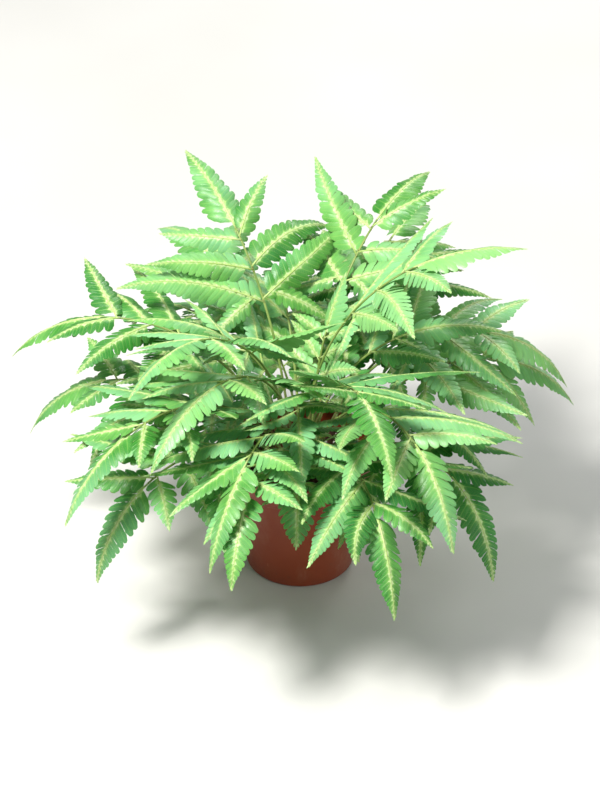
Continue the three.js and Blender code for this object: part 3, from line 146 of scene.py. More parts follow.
        [-1, 172.5, 57.1, 15.1, 58.1, 12.2, 75.5, -9.3, 0.0],
        [1, 175.5, 55.4, 6.3, 69.7, 12.7, 5.3, 7.2, 0.0],
        [-1, 146.7, 66.4, 7.1, 86.4, 14.0, 22.9, -6.4, 0.0],
        [1, 149.7, 50.2, -2.8, 80.4, 13.1, 37.1, 8.5, 0.0],
        [-1, 120.0, 46.2, 14.7, 101.9, 15.6, 27.6, -9.7, 53.3],
        [1, 123.0, 68.2, -16.2, 107.0, 15.6, 32.8, -2.2, 54.4]]),
    dict(az=57.4, bz=68.2, rb=12.0, zb=92.0, e0=59.4, e1=-32.9, L=291.6, sway=15.0, roll=-15.2, fold=-12.8, wt=15.9, st=198.2, sf=9.0, af=58.7, p=[
        [-1, 188.2, 34.0, -17.1, 58.6, 11.7, 56.9, 9.7, 0.0],
        [1, 191.2, 62.0, -12.6, 53.4, 11.6, 27.5, -2.6, 0.0],
        [-1, 162.8, 51.1, -3.1, 83.5, 13.7, 47.6, -16.9, 0.0],
        [1, 165.8, 67.3, -0.3, 81.6, 13.8, 26.0, -22.6, 0.0],
        [-1, 136.3, 47.5, 2.1, 112.0, 15.6, 37.3, -14.6, 61.1],
        [1, 139.3, 56.7, -12.4, 105.5, 15.1, 43.1, -3.2, 59.3]]),
    dict(az=11.7, bz=20.5, rb=12.0, zb=92.0, e0=67.9, e1=-68.5, L=275.7, sway=-10.0, roll=6.5, fold=-7.6, wt=16.6, st=188.1, sf=9.0, af=61.3, p=[
        [-1, 177.7, 45.1, 7.8, 65.5, 12.1, 21.0, -10.1, 0.0],
        [1, 180.7, 55.7, 10.4, 55.9, 12.2, 21.5, 14.1, 0.0],
        [-1, 151.2, 52.7, 0.8, 79.2, 13.5, 32.9, -30.8, 0.0],
        [1, 154.2, 55.1, -9.4, 76.6, 12.8, 27.9, -20.6, 0.0],
        [-1, 123.6, 63.5, 6.1, 113.1, 15.6, 27.7, -6.0, 57.0],
        [1, 126.6, 70.2, -0.1, 95.3, 13.8, 15.9, 8.2, 48.8]]),
    dict(az=-64.0, bz=-64.4, rb=7.5, zb=93.0, e0=72.6, e1=-33.4, L=282.6, sway=-14.8, roll=-12.6, fold=-6.2, wt=16.0, st=188.4, sf=9.0, af=58.6, p=[
        [-1, 178.3, 37.0, 6.4, 61.9, 12.2, 10.4, -4.7, 0.0],
        [1, 181.3, 62.7, 13.3, 62.9, 12.1, 13.9, 16.0, 0.0],
        [-1, 152.8, 59.9, 0.8, 78.9, 13.1, 31.0, -8.0, 0.0],
        [1, 155.8, 48.4, 16.7, 92.3, 14.3, 13.7, -10.9, 0.0],
        [-1, 126.2, 55.8, 7.8, 110.2, 15.9, 28.5, 11.2, 57.5],
        [1, 129.2, 53.2, -6.7, 99.6, 15.0, 25.9, 7.3, 52.6]]),
    dict(az=-6.0, bz=-10.1, rb=7.5, zb=93.0, e0=89.5, e1=-11.1, L=296.0, sway=11.4, roll=-9.5, fold=-14.3, wt=17.0, st=208.3, sf=9.0, af=61.9, p=[
        [-1, 197.8, 52.8, 8.7, 69.3, 13.0, 22.1, -10.9, 0.0],
        [1, 200.8, 53.5, 2.4, 71.6, 12.9, 25.2, 1.3, 0.0],
        [-1, 170.5, 42.2, -1.3, 83.2, 13.5, 47.0, 10.6, 0.0],
        [1, 173.5, 59.5, 4.5, 95.3, 14.5, 47.1, -4.3, 0.0],
        [-1, 142.2, 55.4, -5.9, 124.2, 16.1, 18.9, 1.2, 59.6],
        [1, 145.2, 51.9, -5.1, 90.0, 14.1, 17.4, -1.9, 49.9]]),
    dict(az=57.7, bz=62.7, rb=7.5, zb=93.0, e0=78.1, e1=-19.4, L=290.7, sway=2.5, roll=0.3, fold=-14.2, wt=15.8, st=204.4, sf=9.0, af=63.4, p=[
        [-1, 194.4, 69.9, 8.3, 60.6, 12.0, 3.8, -12.4, 0.0],
        [1, 197.4, 38.5, 20.6, 63.2, 12.1, 24.1, 4.5, 0.0],
        [-1, 169.1, 48.0, 14.1, 90.9, 14.3, 9.7, -13.8, 0.0],
        [1, 172.1, 57.2, -6.8, 71.2, 12.6, 40.8, 9.3, 0.0],
        [-1, 142.8, 52.7, -14.5, 83.4, 14.3, 13.8, 11.9, 50.9],
        [1, 145.8, 54.0, -1.0, 93.7, 14.5, 27.6, 9.6, 56.2]]),
    dict(az=120.0, bz=135.5, rb=7.5, zb=93.0, e0=77.5, e1=6.8, L=275.1, sway=1.1, roll=-7.9, fold=-12.3, wt=16.1, st=190.7, sf=9.0, af=57.6, p=[
        [-1, 180.7, 60.7, -9.2, 63.8, 12.2, 12.4, -15.2, 0.0],
        [1, 183.7, 37.9, 8.7, 54.0, 11.4, 12.0, 20.9, 0.0],
        [-1, 155.0, 62.0, 8.2, 85.0, 13.3, 24.6, -2.7, 0.0],
        [1, 158.0, 58.7, 0.6, 92.3, 14.1, 61.9, 9.8, 0.0],
        [-1, 128.3, 51.0, -1.5, 116.8, 16.1, 38.8, 10.6, 54.9],
        [1, 131.3, 63.8, 9.2, 97.5, 14.7, 30.5, -31.4, 54.9]]),
    dict(az=-143.4, bz=-158.4, rb=7.5, zb=93.0, e0=82.8, e1=-25.4, L=286.8, sway=22.9, roll=26.3, fold=-12.6, wt=16.9, st=193.8, sf=8.5, af=60.3, p=[
        [-1, 183.3, 57.1, -13.3, 64.7, 11.7, 26.2, 0.9, 0.0],
        [1, 186.3, 58.5, 5.5, 57.3, 12.0, 25.7, 12.0, 0.0],
        [-1, 156.4, 56.9, 4.6, 87.4, 14.1, 43.5, 1.8, 0.0],
        [1, 159.4, 50.0, 7.9, 82.9, 13.6, 34.7, 14.1, 0.0],
        [-1, 128.5, 61.7, 15.9, 91.4, 15.3, 27.0, 30.4, 52.7],
        [1, 131.5, 52.5, -5.0, 93.1, 15.5, 26.1, -18.0, 56.7]]),
    dict(az=-92.7, bz=-98.1, rb=3.2, zb=93.0, e0=77.9, e1=-50.7, L=216.6, sway=6.6, roll=25.9, fold=-13.0, wt=13.4, st=143.6, sf=11.8, af=48.9, p=[
        [-1, 134.9, 47.1, 9.8, 47.5, 9.3, 33.6, -0.3, 0.0],
        [1, 137.9, 44.5, 14.0, 49.5, 9.4, 3.1, 21.8, 0.0],
        [-1, 113.5, 44.4, -13.0, 61.9, 10.5, 8.7, -12.4, 0.0],
        [1, 116.5, 59.6, 9.9, 67.4, 10.7, 6.0, -18.8, 0.0],
        [-1, 91.3, 77.8, 16.9, 93.3, 12.0, 55.7, -15.6, 43.0],
        [1, 94.3, 60.2, 6.1, 78.8, 11.8, 21.0, 3.3, 43.0]]),
    dict(az=-0.4, bz=27.1, rb=5.2, zb=93.0, e0=76.7, e1=-21.2, L=219.8, sway=3.3, roll=19.6, fold=-11.9, wt=14.0, st=142.7, sf=9.0, af=58.6, p=[
        [-1, 133.7, 55.5, 18.9, 51.6, 9.7, 15.8, -12.3, 0.0],
        [1, 136.7, 47.8, 7.6, 48.1, 9.8, 26.3, 9.1, 0.0],
        [-1, 111.3, 65.9, -12.1, 66.9, 10.9, 30.8, 9.7, 0.0],
        [1, 114.3, 39.0, 9.4, 80.6, 11.6, 19.0, -1.6, 0.0],
        [-1, 88.1, 72.9, 7.2, 83.9, 12.2, 30.3, 13.5, 47.0],
        [1, 91.1, 69.8, -1.1, 78.3, 11.5, 36.5, 12.3, 44.9]]),
    dict(az=98.9, bz=90.1, rb=3.2, zb=93.0, e0=77.6, e1=-44.2, L=209.6, sway=1.6, roll=12.8, fold=-11.4, wt=12.7, st=142.5, sf=9.0, af=56.6, p=[
        [-1, 134.2, 48.9, 12.4, 52.3, 9.5, 29.9, 0.8, 0.0],
        [1, 137.2, 54.9, 21.5, 49.8, 9.3, 34.6, 10.7, 0.0],
        [-1, 113.9, 45.7, 15.6, 62.1, 10.1, 22.6, -11.4, 0.0],
        [1, 116.9, 61.3, 0.5, 63.4, 10.3, 57.4, 10.5, 0.0],
        [-1, 92.9, 48.9, -13.5, 76.0, 11.2, 6.6, 21.5, 47.4],
        [1, 95.9, 61.0, 2.9, 82.4, 12.0, 29.4, -24.4, 39.5]]),
    dict(az=184.1, bz=183.9, rb=3.2, zb=93.0, e0=83.2, e1=-8.9, L=211.9, sway=-0.6, roll=12.0, fold=-8.5, wt=12.9, st=140.6, sf=9.0, af=57.3, p=[
        [-1, 132.2, 51.0, 11.6, 46.5, 9.0, 9.5, -19.9, 0.0],
        [1, 135.2, 43.7, 14.6, 46.2, 9.0, 29.8, -7.2, 0.0],
        [-1, 111.6, 70.3, 4.9, 56.5, 10.5, 23.4, -20.8, 0.0],
        [1, 114.6, 41.9, 1.0, 60.9, 10.5, 38.0, -4.5, 0.0],
        [-1, 90.2, 68.6, -19.8, 77.1, 11.0, 51.9, -12.4, 43.6],
        [1, 93.2, 68.6, 16.0, 81.3, 11.7, 26.2, 0.4, 43.1]]),
    dict(az=-74.4, bz=-88.1, rb=15.0, zb=91.5, e0=60.3, e1=-75.5, L=199.0, sway=3.4, roll=7.8, fold=-6.3, wt=12.3, st=131.3, sf=8.0, af=58.3, p=[
        [-1, 123.3, 49.0, -15.8, 47.2, 9.1, 41.6, -10.5, 0.0],
        [1, 126.3, 51.2, 15.6, 44.4, 9.2, 25.6, -9.8, 0.0],
        [-1, 103.7, 46.0, 20.3, 64.7, 10.5, 14.8, -13.4, 0.0],
        [1, 106.7, 73.3, -1.0, 59.8, 10.0, 17.5, -4.5, 0.0],
        [-1, 83.4, 66.4, 1.8, 78.6, 11.4, 44.8, -1.6, 43.2],
        [1, 86.4, 47.3, 17.6, 82.4, 11.8, 31.5, -11.8, 40.1]]),
    dict(az=-146.2, bz=-144.9, rb=15.0, zb=91.5, e0=59.7, e1=-51.5, L=192.4, sway=-18.1, roll=-5.8, fold=-11.7, wt=12.3, st=126.7, sf=8.0, af=63.0, p=[
        [-1, 118.6, 55.9, 8.5, 49.7, 9.4, 27.4, -20.3, 0.0],
        [1, 121.6, 53.6, 17.6, 50.7, 9.5, 37.0, -19.6, 0.0],
        [-1, 98.9, 62.9, -7.3, 66.8, 10.4, 23.2, 26.2, 0.0],
        [1, 101.9, 60.3, -4.1, 63.4, 10.3, 15.3, -4.2, 0.0],
        [-1, 78.5, 63.7, 0.3, 76.8, 11.3, 25.4, -19.4, 35.9],
        [1, 81.5, 54.5, 5.5, 83.6, 11.7, 38.5, -10.5, 41.9]]),
    dict(az=-24.5, bz=-29.2, rb=15.0, zb=91.5, e0=60.6, e1=-45.9, L=196.3, sway=-20.2, roll=-13.9, fold=-11.1, wt=12.5, st=127.0, sf=8.0, af=60.7, p=[
        [-1, 118.8, 47.1, 1.8, 48.7, 9.2, 12.1, -5.6, 0.0],
        [1, 121.8, 40.9, 10.2, 49.5, 9.2, 11.7, -11.0, 0.0],
        [-1, 98.7, 43.3, -5.7, 63.5, 10.4, 36.6, -3.5, 0.0],
        [1, 101.7, 45.8, -0.2, 58.9, 10.3, 34.3, -15.2, 0.0],
        [-1, 78.0, 74.8, -2.5, 73.5, 11.0, 47.1, -5.2, 41.9],
        [1, 81.0, 75.2, 5.4, 81.1, 11.6, 19.1, 8.4, 39.1]]),
    dict(az=-126.6, bz=-110.0, rb=7.6, zb=93.0, e0=80.2, e1=-54.6, L=268.0, sway=-0.5, roll=11.7, fold=-6.2, wt=16.0, st=173.8, sf=9.0, af=58.6, p=[
        [-1, 163.8, 62.7, 12.4, 58.4, 12.2, 38.3, 2.0, 0.0],
        [1, 166.8, 42.1, 3.9, 64.2, 12.1, 12.7, -22.0, 0.0],
        [-1, 138.2, 47.4, -12.3, 69.8, 13.1, 27.0, -5.8, 0.0],
        [1, 141.2, 54.8, -2.0, 81.7, 14.3, -1.0, -0.6, 0.0],
        [-1, 111.7, 50.7, 6.0, 117.3, 15.9, 27.0, -13.3, 57.5],
        [1, 114.7, 45.3, -15.2, 107.9, 15.0, 9.3, -7.7, 52.6]]),
    dict(az=-147.4, bz=-157.7, rb=12.2, zb=92.5, e0=60.5, e1=-14.7, L=164.1, sway=-15.1, roll=-15.5, fold=-4.8, wt=13.6, st=99.9, sf=6.0, af=58.0, p=[
        [-1, 95.4, 56.3, 12.5, 44.7, 7.7, 16.8, 12.5, 0.0],
        [1, 97.9, 57.9, 14.5, 42.5, 7.5, 38.6, 8.1, 0.0],
        [-1, 78.2, 53.5, 5.5, 59.0, 9.4, 24.4, -3.5, 0.0],
        [1, 80.7, 63.1, 1.5, 60.3, 9.5, 22.7, 0.8, 0.0],
        [-1, 60.9, 58.9, 15.8, 60.5, 9.6, 30.7, 13.1, 0.0],
        [1, 63.4, 58.2, 14.8, 69.7, 10.6, 35.1, 5.9, 0.0]]),
    dict(az=128.5, bz=75.2, rb=17.7, zb=89.5, e0=71.3, e1=11.6, L=153.5, sway=-14.9, roll=-5.0, fold=-9.0, wt=12.6, st=89.3, sf=6.0, af=58.0, p=[
        [-1, 84.8, 48.2, -3.2, 42.1, 7.4, 15.8, -1.7, 0.0],
        [1, 87.3, 65.8, -4.9, 48.1, 8.1, 21.2, 16.4, 0.0],
        [-1, 68.7, 50.7, -4.5, 49.1, 8.2, 36.7, -2.3, 0.0],
        [1, 71.2, 64.5, 7.7, 59.9, 9.5, 33.1, 11.2, 0.0],
        [-1, 52.6, 59.7, 11.5, 67.3, 10.3, 36.8, 12.4, 0.0],
        [1, 55.1, 64.1, -5.0, 57.9, 9.3, 31.6, 4.4, 0.0]]),
    dict(az=-88.2, bz=-102.0, rb=15.2, zb=89.5, e0=56.5, e1=-58.7, L=165.9, sway=-3.4, roll=6.1, fold=-8.3, wt=15.7, st=114.6, sf=6.0, af=58.0, p=[
        [-1, 110.1, 65.2, -1.0, 37.7, 6.9, 23.0, 5.5, 0.0],
        [1, 112.6, 59.2, 5.9, 33.4, 6.4, 28.4, 0.2, 0.0],
        [-1, 92.7, 63.9, -0.4, 42.7, 7.5, 38.3, -1.0, 0.0],
        [1, 95.2, 65.9, 17.2, 43.5, 7.6, 29.9, 19.9, 0.0],
        [-1, 75.2, 55.0, 11.2, 54.8, 8.9, 24.0, -5.5, 0.0],
        [1, 77.7, 60.1, 16.1, 48.9, 8.2, 19.9, 11.7, 0.0]]),
    dict(az=63.5, bz=23.6, rb=9.7, zb=92.5, e0=86.9, e1=51.6, L=157.7, sway=-14.7, roll=-19.6, fold=-9.5, wt=13.4, st=106.3, sf=6.0, af=58.0, p=[
        [-1, 101.8, 61.8, 6.6, 39.0, 7.1, 26.2, 13.6, 0.0],
        [1, 104.3, 48.8, -4.4, 34.0, 6.5, 33.9, -9.9, 0.0],
        [-1, 85.2, 55.6, -1.4, 45.2, 7.8, 22.1, 3.8, 0.0],
        [1, 87.7, 49.8, 11.4, 43.8, 7.6, 16.7, -9.5, 0.0],
        [-1, 68.7, 55.3, 2.8, 49.3, 8.3, 16.4, 5.5, 0.0],
        [1, 71.2, 49.7, 13.2, 57.8, 9.3, 28.6, -9.2, 0.0]]),
    dict(az=49.3, bz=66.7, rb=20.8, zb=89.5, e0=67.8, e1=9.4, L=107.7, sway=-24.8, roll=-6.5, fold=-8.7, wt=9.2, st=65.6, sf=6.0, af=58.0, p=[
        [-1, 61.1, 55.6, 0.7, 29.4, 6.0, 39.5, -5.3, 0.0],
        [1, 63.6, 57.9, -0.8, 28.7, 5.9, 25.7, 5.8, 0.0],
        [-1, 49.8, 52.6, -0.8, 38.0, 7.0, 39.9, 14.8, 0.0],
        [1, 52.3, 58.3, 1.8, 33.4, 6.4, 30.7, 15.2, 0.0],
        [-1, 38.5, 65.1, 14.8, 45.2, 7.8, 27.9, -2.1, 0.0],
        [1, 41.0, 56.9, 17.7, 37.8, 6.9, 36.3, 12.3, 0.0]]),
    dict(az=-91.3, bz=-134.6, rb=19.5, zb=89.5, e0=57.0, e1=-8.8, L=95.5, sway=-24.5, roll=-12.8, fold=-7.9, wt=9.6, st=56.5, sf=6.0, af=58.0, p=[
        [-1, 52.0, 49.1, -1.6, 30.9, 6.2, 19.1, 11.6, 0.0],
        [1, 54.5, 62.1, 2.4, 25.8, 5.6, 27.6, 0.8, 0.0],
        [-1, 42.0, 57.3, -4.8, 35.8, 6.7, 15.3, 19.0, 0.0],
        [1, 44.5, 58.5, 8.4, 34.2, 6.5, 22.5, 19.9, 0.0],
        [-1, 32.0, 65.9, 3.9, 42.4, 7.5, 30.5, 3.1, 0.0],
        [1, 34.5, 49.2, 2.8, 36.9, 6.8, 23.8, 9.2, 0.0]]),
]
YOUNG_FROND = dict(az=-82.1, bz=-84.0, rb=9.5, zb=92.0, e0=73.1, e1=5.2, L=105.0, sway=6.4, roll=-1.0, fold=-24.0, wt=5.0, st=86.0, sf=9.0, af=60.0, p=[
        [-1, 80.8, 55.0, 10.0, 14.0, 4.6, 64.0, 14.0, 0.0],
        [1, 83.2, 49.0, 10.0, 16.0, 4.6, 76.0, -14.0, 0.0],
        [-1, 71.8, 61.0, 6.0, 18.0, 4.6, 64.0, 14.0, 0.0],
        [1, 74.2, 55.0, 6.0, 20.0, 4.6, 76.0, -14.0, 0.0],
        [-1, 61.8, 67.0, 2.0, 20.0, 4.6, 64.0, 14.0, 0.0],
        [1, 64.2, 61.0, 2.0, 22.0, 4.6, 76.0, -14.0, 0.0]])
CROZIERS = [
    dict(az=-20.3, bz=-20.0, rb=9.5, zb=92.0, e0=78.4, e1=39.7, L=60.0, sway=6.0, roll=-2.1, fold=0.0, wt=6.0, st=52.0, sf=9.0, af=60.0, coil=6.4, p=[]),
    dict(az=147.6, bz=150.0, rb=9.5, zb=92.0, e0=73.4, e1=31.4, L=74.0, sway=3.3, roll=-1.7, fold=0.0, wt=6.0, st=66.0, sf=9.0, af=60.0, coil=5.6, p=[]),
]


# ---------------------------------------------------------------- frond lines (the same maths as the construction)
LINE_STEPS = 40
PINNA_STEPS = 14


def frames(heading, rise, bank):
    """D along the line, N its upper face, S its right-hand side, each (n, 3); angles are radian arrays."""
    ca, sa, ce, se = np.cos(heading), np.sin(heading), np.cos(rise), np.sin(rise)
    D = np.stack([ce * ca, ce * sa, se], -1)
    U = np.stack([-se * ca, -se * sa, ce], -1)
    H = np.stack([sa, -ca, np.zeros_like(sa)], -1)
    cb, sb = np.cos(bank)[..., None], np.sin(bank)[..., None]
    return D, cb * U + sb * H, cb * H - sb * U


class Line:
    def __init__(self, start, length, steps, turn):
        self.length, self.turn, self.steps = length, turn, steps
        D, _, _ = frames(*turn((np.arange(steps) + 0.5) / steps))
        self.points = np.vstack([start, start + np.cumsum(D, 0) * length / steps])

    def at(self, s):
        """Point and frame at distances s; past either end the line runs on straight."""
        s = np.atleast_1d(np.asarray(s, float))
        x = np.clip(s / self.length, 0, 1) * self.steps
        k = np.minimum(x.astype(int), self.steps - 1)
        w = (x - k)[:, None]
        P = self.points[k] * (1 - w) + self.points[k + 1] * w
        D, N, S = frames(*self.turn(np.clip(s / self.length, 0, 1)))
        P = P + D * np.where(s > self.length, s - self.length, np.where(s < 0, s, 0))[:, None]
        return P, D, N, S


def frond_line(f):
    start = np.array([f["rb"] * math.cos(f["bz"] * RAD), f["rb"] * math.sin(f["bz"] * RAD), f["zb"]])

    def turn(t):
        return (
            (f["az"] + f["sway"] * t**1.3) * RAD,
            (f["e0"] + (f["e1"] - f["e0"]) * np.clip((t - 0.1) / 0.9, 0, 1) ** 1.25) * RAD,
            f["roll"] * np.minimum(1, t * 1.6) * RAD,
        )

    return Line(start, f["L"], LINE_STEPS, turn)


def pinna_line(P0, D0, N0, length, droop, curl):
    rise0 = math.asin(max(-1.0, min(1.0, D0[2])))
    heading0 = math.atan2(D0[1], D0[0])
    face = N0 - D0 * (N0 @ D0)
    face = face / np.linalg.norm(face)
    _, U, H = frames(np.array([heading0]), np.array([rise0]), np.zeros(1))
    bank0 = math.atan2(face @ H[0], face @ U[0])

    def turn(t):
        return (
            heading0 + curl * RAD * t**1.5,
            np.maximum(-84 * RAD, rise0 - droop * RAD * t**1.2),
            bank0 * (1 - 0.5 * t),
        )

    return Line(P0, length, PINNA_STEPS, turn)


def blades(f):
    """The frond's midrib line and its blades: line, start, length, half width, kind and side of each."""
    line = frond_line(f)
    out = [dict(line=line, s0=f["st"], L=f["L"] - f["st"], W=f["wt"], kind="end", side=0)]
    for side, s, angle, lift, length, width, droop, curl, fork in f["p"]:
        P, D, N, S = (x[0] for x in line.at(s))
        D0 = math.cos(lift * RAD) * (math.cos(angle * RAD) * D + side * math.sin(angle * RAD) * S) + math.sin(lift * RAD) * N
        pinna = pinna_line(P, D0, N, length, droop, -side * curl)
        b = dict(line=pinna, s0=0.0, L=length, W=width, kind="side", side=side)
        # which hand of this pinna faces the stalk
        b["basal"] = -1 if pinna.at(f["sf"])[3][0] @ D > 0 else 1
        out.append(b)
        if fork > 0:
            P1, D1, N1, S1 = (x[0] for x in pinna.at(f["sf"]))
            D2 = math.cos(f["af"] * RAD) * D1 + math.sin(f["af"] * RAD) * b["basal"] * S1
            small = pinna_line(P1, D2, N1, fork, droop * 0.7, side * curl * 0.5)
            b["fork_at"] = f["sf"]
            out.append(dict(line=small, s0=0.0, L=fork, W=fork * 0.17, kind="fork", side=side))
    return line, out

# ---------------------------------------------------------------- mesh gathering
class Mesh:
    """Gathers closed shells as arrays: points, four-cornered faces, a material for each face, edges that stay sharp."""

    FIELDS = ("lat", "span", "along", "out", "chance", "tone")

    def __init__(self):
        self.v, self.f, self.m, self.e, self.a, self.n = [], [], [], [], [], 0

    def add(self, v, f, m, sharp=None, **fields):
        v = np.asarray(v, float).reshape(-1, 3)
        f = np.asarray(f, int).reshape(-1, 4)
        self.v.append(v)
        self.f.append(f + self.n)
        self.m.append(np.broadcast_to(np.asarray(m, int), (len(f),)))
        if sharp is not None and len(sharp):
            self.e.append(np.asarray(sharp, int).reshape(-1, 2) + self.n)
        cols = [np.broadcast_to(np.ravel(fields[k]) if k in fields and np.ndim(fields[k]) else fields.get(k, 0.0), (len(v),)) for k in self.FIELDS]
        self.a.append(np.stack(cols, 1))
        self.n += len(v)

    def build(self, name, materials, scale=MM, smooth=True):
        v = np.vstack(self.v) * scale
        f = np.vstack(self.f)
        m = np.concatenate(self.m)
        me = bpy.data.meshes.new(name)
        tri = f[:, 2] == f[:, 3]      # a face whose last two corners are one is a triangle
        counts = np.where(tri, 3, 4)
        starts = np.concatenate([[0], np.cumsum(counts)[:-1]])
        corners = np.empty(int(counts.sum()), np.int32)
        for c in range(3):
            corners[starts + c] = f[:, c]
        corners[starts[~tri] + 3] = f[~tri, 3]
        me.vertices.add(len(v))
        me.vertices.foreach_set("co", v.astype(np.float32).ravel())
        me.loops.add(len(corners))
        me.loops.foreach_set("vertex_index", corners)
        me.polygons.add(len(f))
        me.polygons.foreach_set("loop_start", starts.astype(np.int32))
        me.polygons.foreach_set("material_index", m.astype(np.int32))
        me.update(calc_edges=True)
        me.polygons.foreach_set("use_smooth", np.full(len(f), smooth))
        if self.e:
            want = np.sort(np.vstack(self.e), 1)
            key = want[:, 0] * (self.n + 1) + want[:, 1]
            ends = np.empty(len(me.edges) * 2, np.int32)
            me.edges.foreach_get("vertices", ends)
            ends = np.sort(ends.reshape(-1, 2).astype(np.int64), 1)
            mark = np.isin(ends[:, 0] * (self.n + 1) + ends[:, 1], key)
            me.attributes.new("sharp_edge", "BOOLEAN", "EDGE").data.foreach_set("value", mark)
        a = np.vstack(self.a).astype(np.float32)
        for k, field in enumerate(self.FIELDS):
            if np.any(a[:, k] != 0):
                me.attributes.new(field, "FLOAT", "POINT").data.foreach_set("value", np.ascontiguousarray(a[:, k]))
        for mat in materials:
            me.materials.append(mat)
        me.validate(verbose=False)
        me.update()
        ob = bpy.data.objects.new(name, me)
        bpy.context.scene.collection.objects.link(ob)
        return ob


def tube(mesh, P, N, S, radius, sides, mat, cap=True, groove=0.0, **fields):
    """A closed tube through the points P; radius is one number or one for each point."""
    n = len(P)
    r = np.broadcast_to(np.asarray(radius, float), (n,))[:, None, None]
    a = 2 * np.pi * np.arange(sides) / sides
    c, s = np.cos(a)[None, :, None], np.sin(a)[None, :, None]
    s = np.where(s > 0, s * (1 - groove * np.exp(-((c / 0.45) ** 2))), s)
    ring = P[:, None, :] + r * (c * S[:, None, :] + s * N[:, None, :])
    v = ring.reshape(-1, 3)
    k, i = np.meshgrid(np.arange(n - 1), np.arange(sides), indexing="ij")
    j = (i + 1) % sides
    f = np.stack([k * sides + i, (k + 1) * sides + i, (k + 1) * sides + j, k * sides + j], -1).reshape(-1, 4)
    sharp = []
    extra = {q: (np.repeat(np.broadcast_to(w, (n,)), sides) if np.ndim(w) else w) for q, w in fields.items()}
    if cap:
        v = np.vstack([v, P[0], P[-1]])
        b0, b1 = n * sides, n * sides + 1
        i = np.arange(sides)
        j = (i + 1) % sides
        f = np.vstack([f, np.stack([i, j, np.full(sides, b0), np.full(sides, b0)], -1),
                       np.stack([(n - 1) * sides + j, (n - 1) * sides + i, np.full(sides, b1), np.full(sides, b1)], -1)])
        extra = {q: (np.concatenate([w, [w[0], w[-1]]]) if np.ndim(w) else w) for q, w in extra.items()}
    mesh.add(v, f, mat, sharp, **extra)


# ---------------------------------------------------------------- one leaf blade, pinnule by pinnule
SIDE_U = [0, 0.04, 0.1, 0.2, 0.35, 0.5, 0.65, 0.78, 0.88, 0.95, 1.0]
SIDE_W = [0.62, 0.84, 0.96, 1.0, 0.92, 0.78, 0.58, 0.38, 0.21, 0.10, 0.045]
END_W = [0.66, 0.90, 1.0, 1.0, 0.90, 0.74, 0.55, 0.36, 0.20, 0.10, 0.045]
FORK_W = [0.70, 0.92, 1.0, 0.96, 0.84, 0.68, 0.50, 0.33, 0.19, 0.10, 0.05]


def grid_shell(nl, nw):
    """Face and vertex layout of a leaf shell whose two faces share their outline: (nl + 1) by (nw + 1) above."""
    top = np.arange((nl + 1) * (nw + 1)).reshape(nl + 1, nw + 1)
    bot = top.copy()
    inner = np.arange((nl - 1) * (nw - 1)).reshape(nl - 1, nw - 1) + (nl + 1) * (nw + 1)
    bot[1:-1, 1:-1] = inner
    ft = np.stack([top[:-1, :-1], top[1:, :-1], top[1:, 1:], top[:-1, 1:]], -1).reshape(-1, 4)
    fb = np.stack([bot[:-1, :-1], bot[:-1, 1:], bot[1:, 1:], bot[1:, :-1]], -1).reshape(-1, 4)
    rim = np.concatenate([top[0, :], top[1:, -1], top[-1, -2::-1], top[-2::-1, 0]])
    sharp = np.stack([rim[:-1], rim[1:]], -1)
    return ft, fb, sharp


def rows(nl):
    if nl >= 9:
        return np.array([0, 0.10, 0.23, 0.37, 0.51, 0.64, 0.76, 0.87, 0.95, 1.0])
    if nl == 8:
        return np.array([0, 0.12, 0.27, 0.43, 0.58, 0.72, 0.85, 0.95, 1.0])
    if nl == 6:
        return np.array([0, 0.18, 0.38, 0.58, 0.77, 0.92, 1.0])
    return np.array([0, 0.30, 0.58, 0.84, 1.0])


def map_to_blade(b, x, y, h, fold, curl):
    """Flat leaf coordinates to space: x along the midrib, y out from it (signed), h above the blade."""
    shape = x.shape
    x, y, h = x.ravel(), y.ravel(), h.ravel()
    P, D, N, S = b["line"].at(b["s0"] + x)
    a = np.abs(y)
    bend = fold * RAD + curl * RAD * (a / max(b["W"], 1e-6))
    lat = np.sign(y) * a * np.cos(bend)
    up = a * np.sin(bend) + h
    return (P + lat[:, None] * S + up[:, None] * N).reshape(*shape, 3)


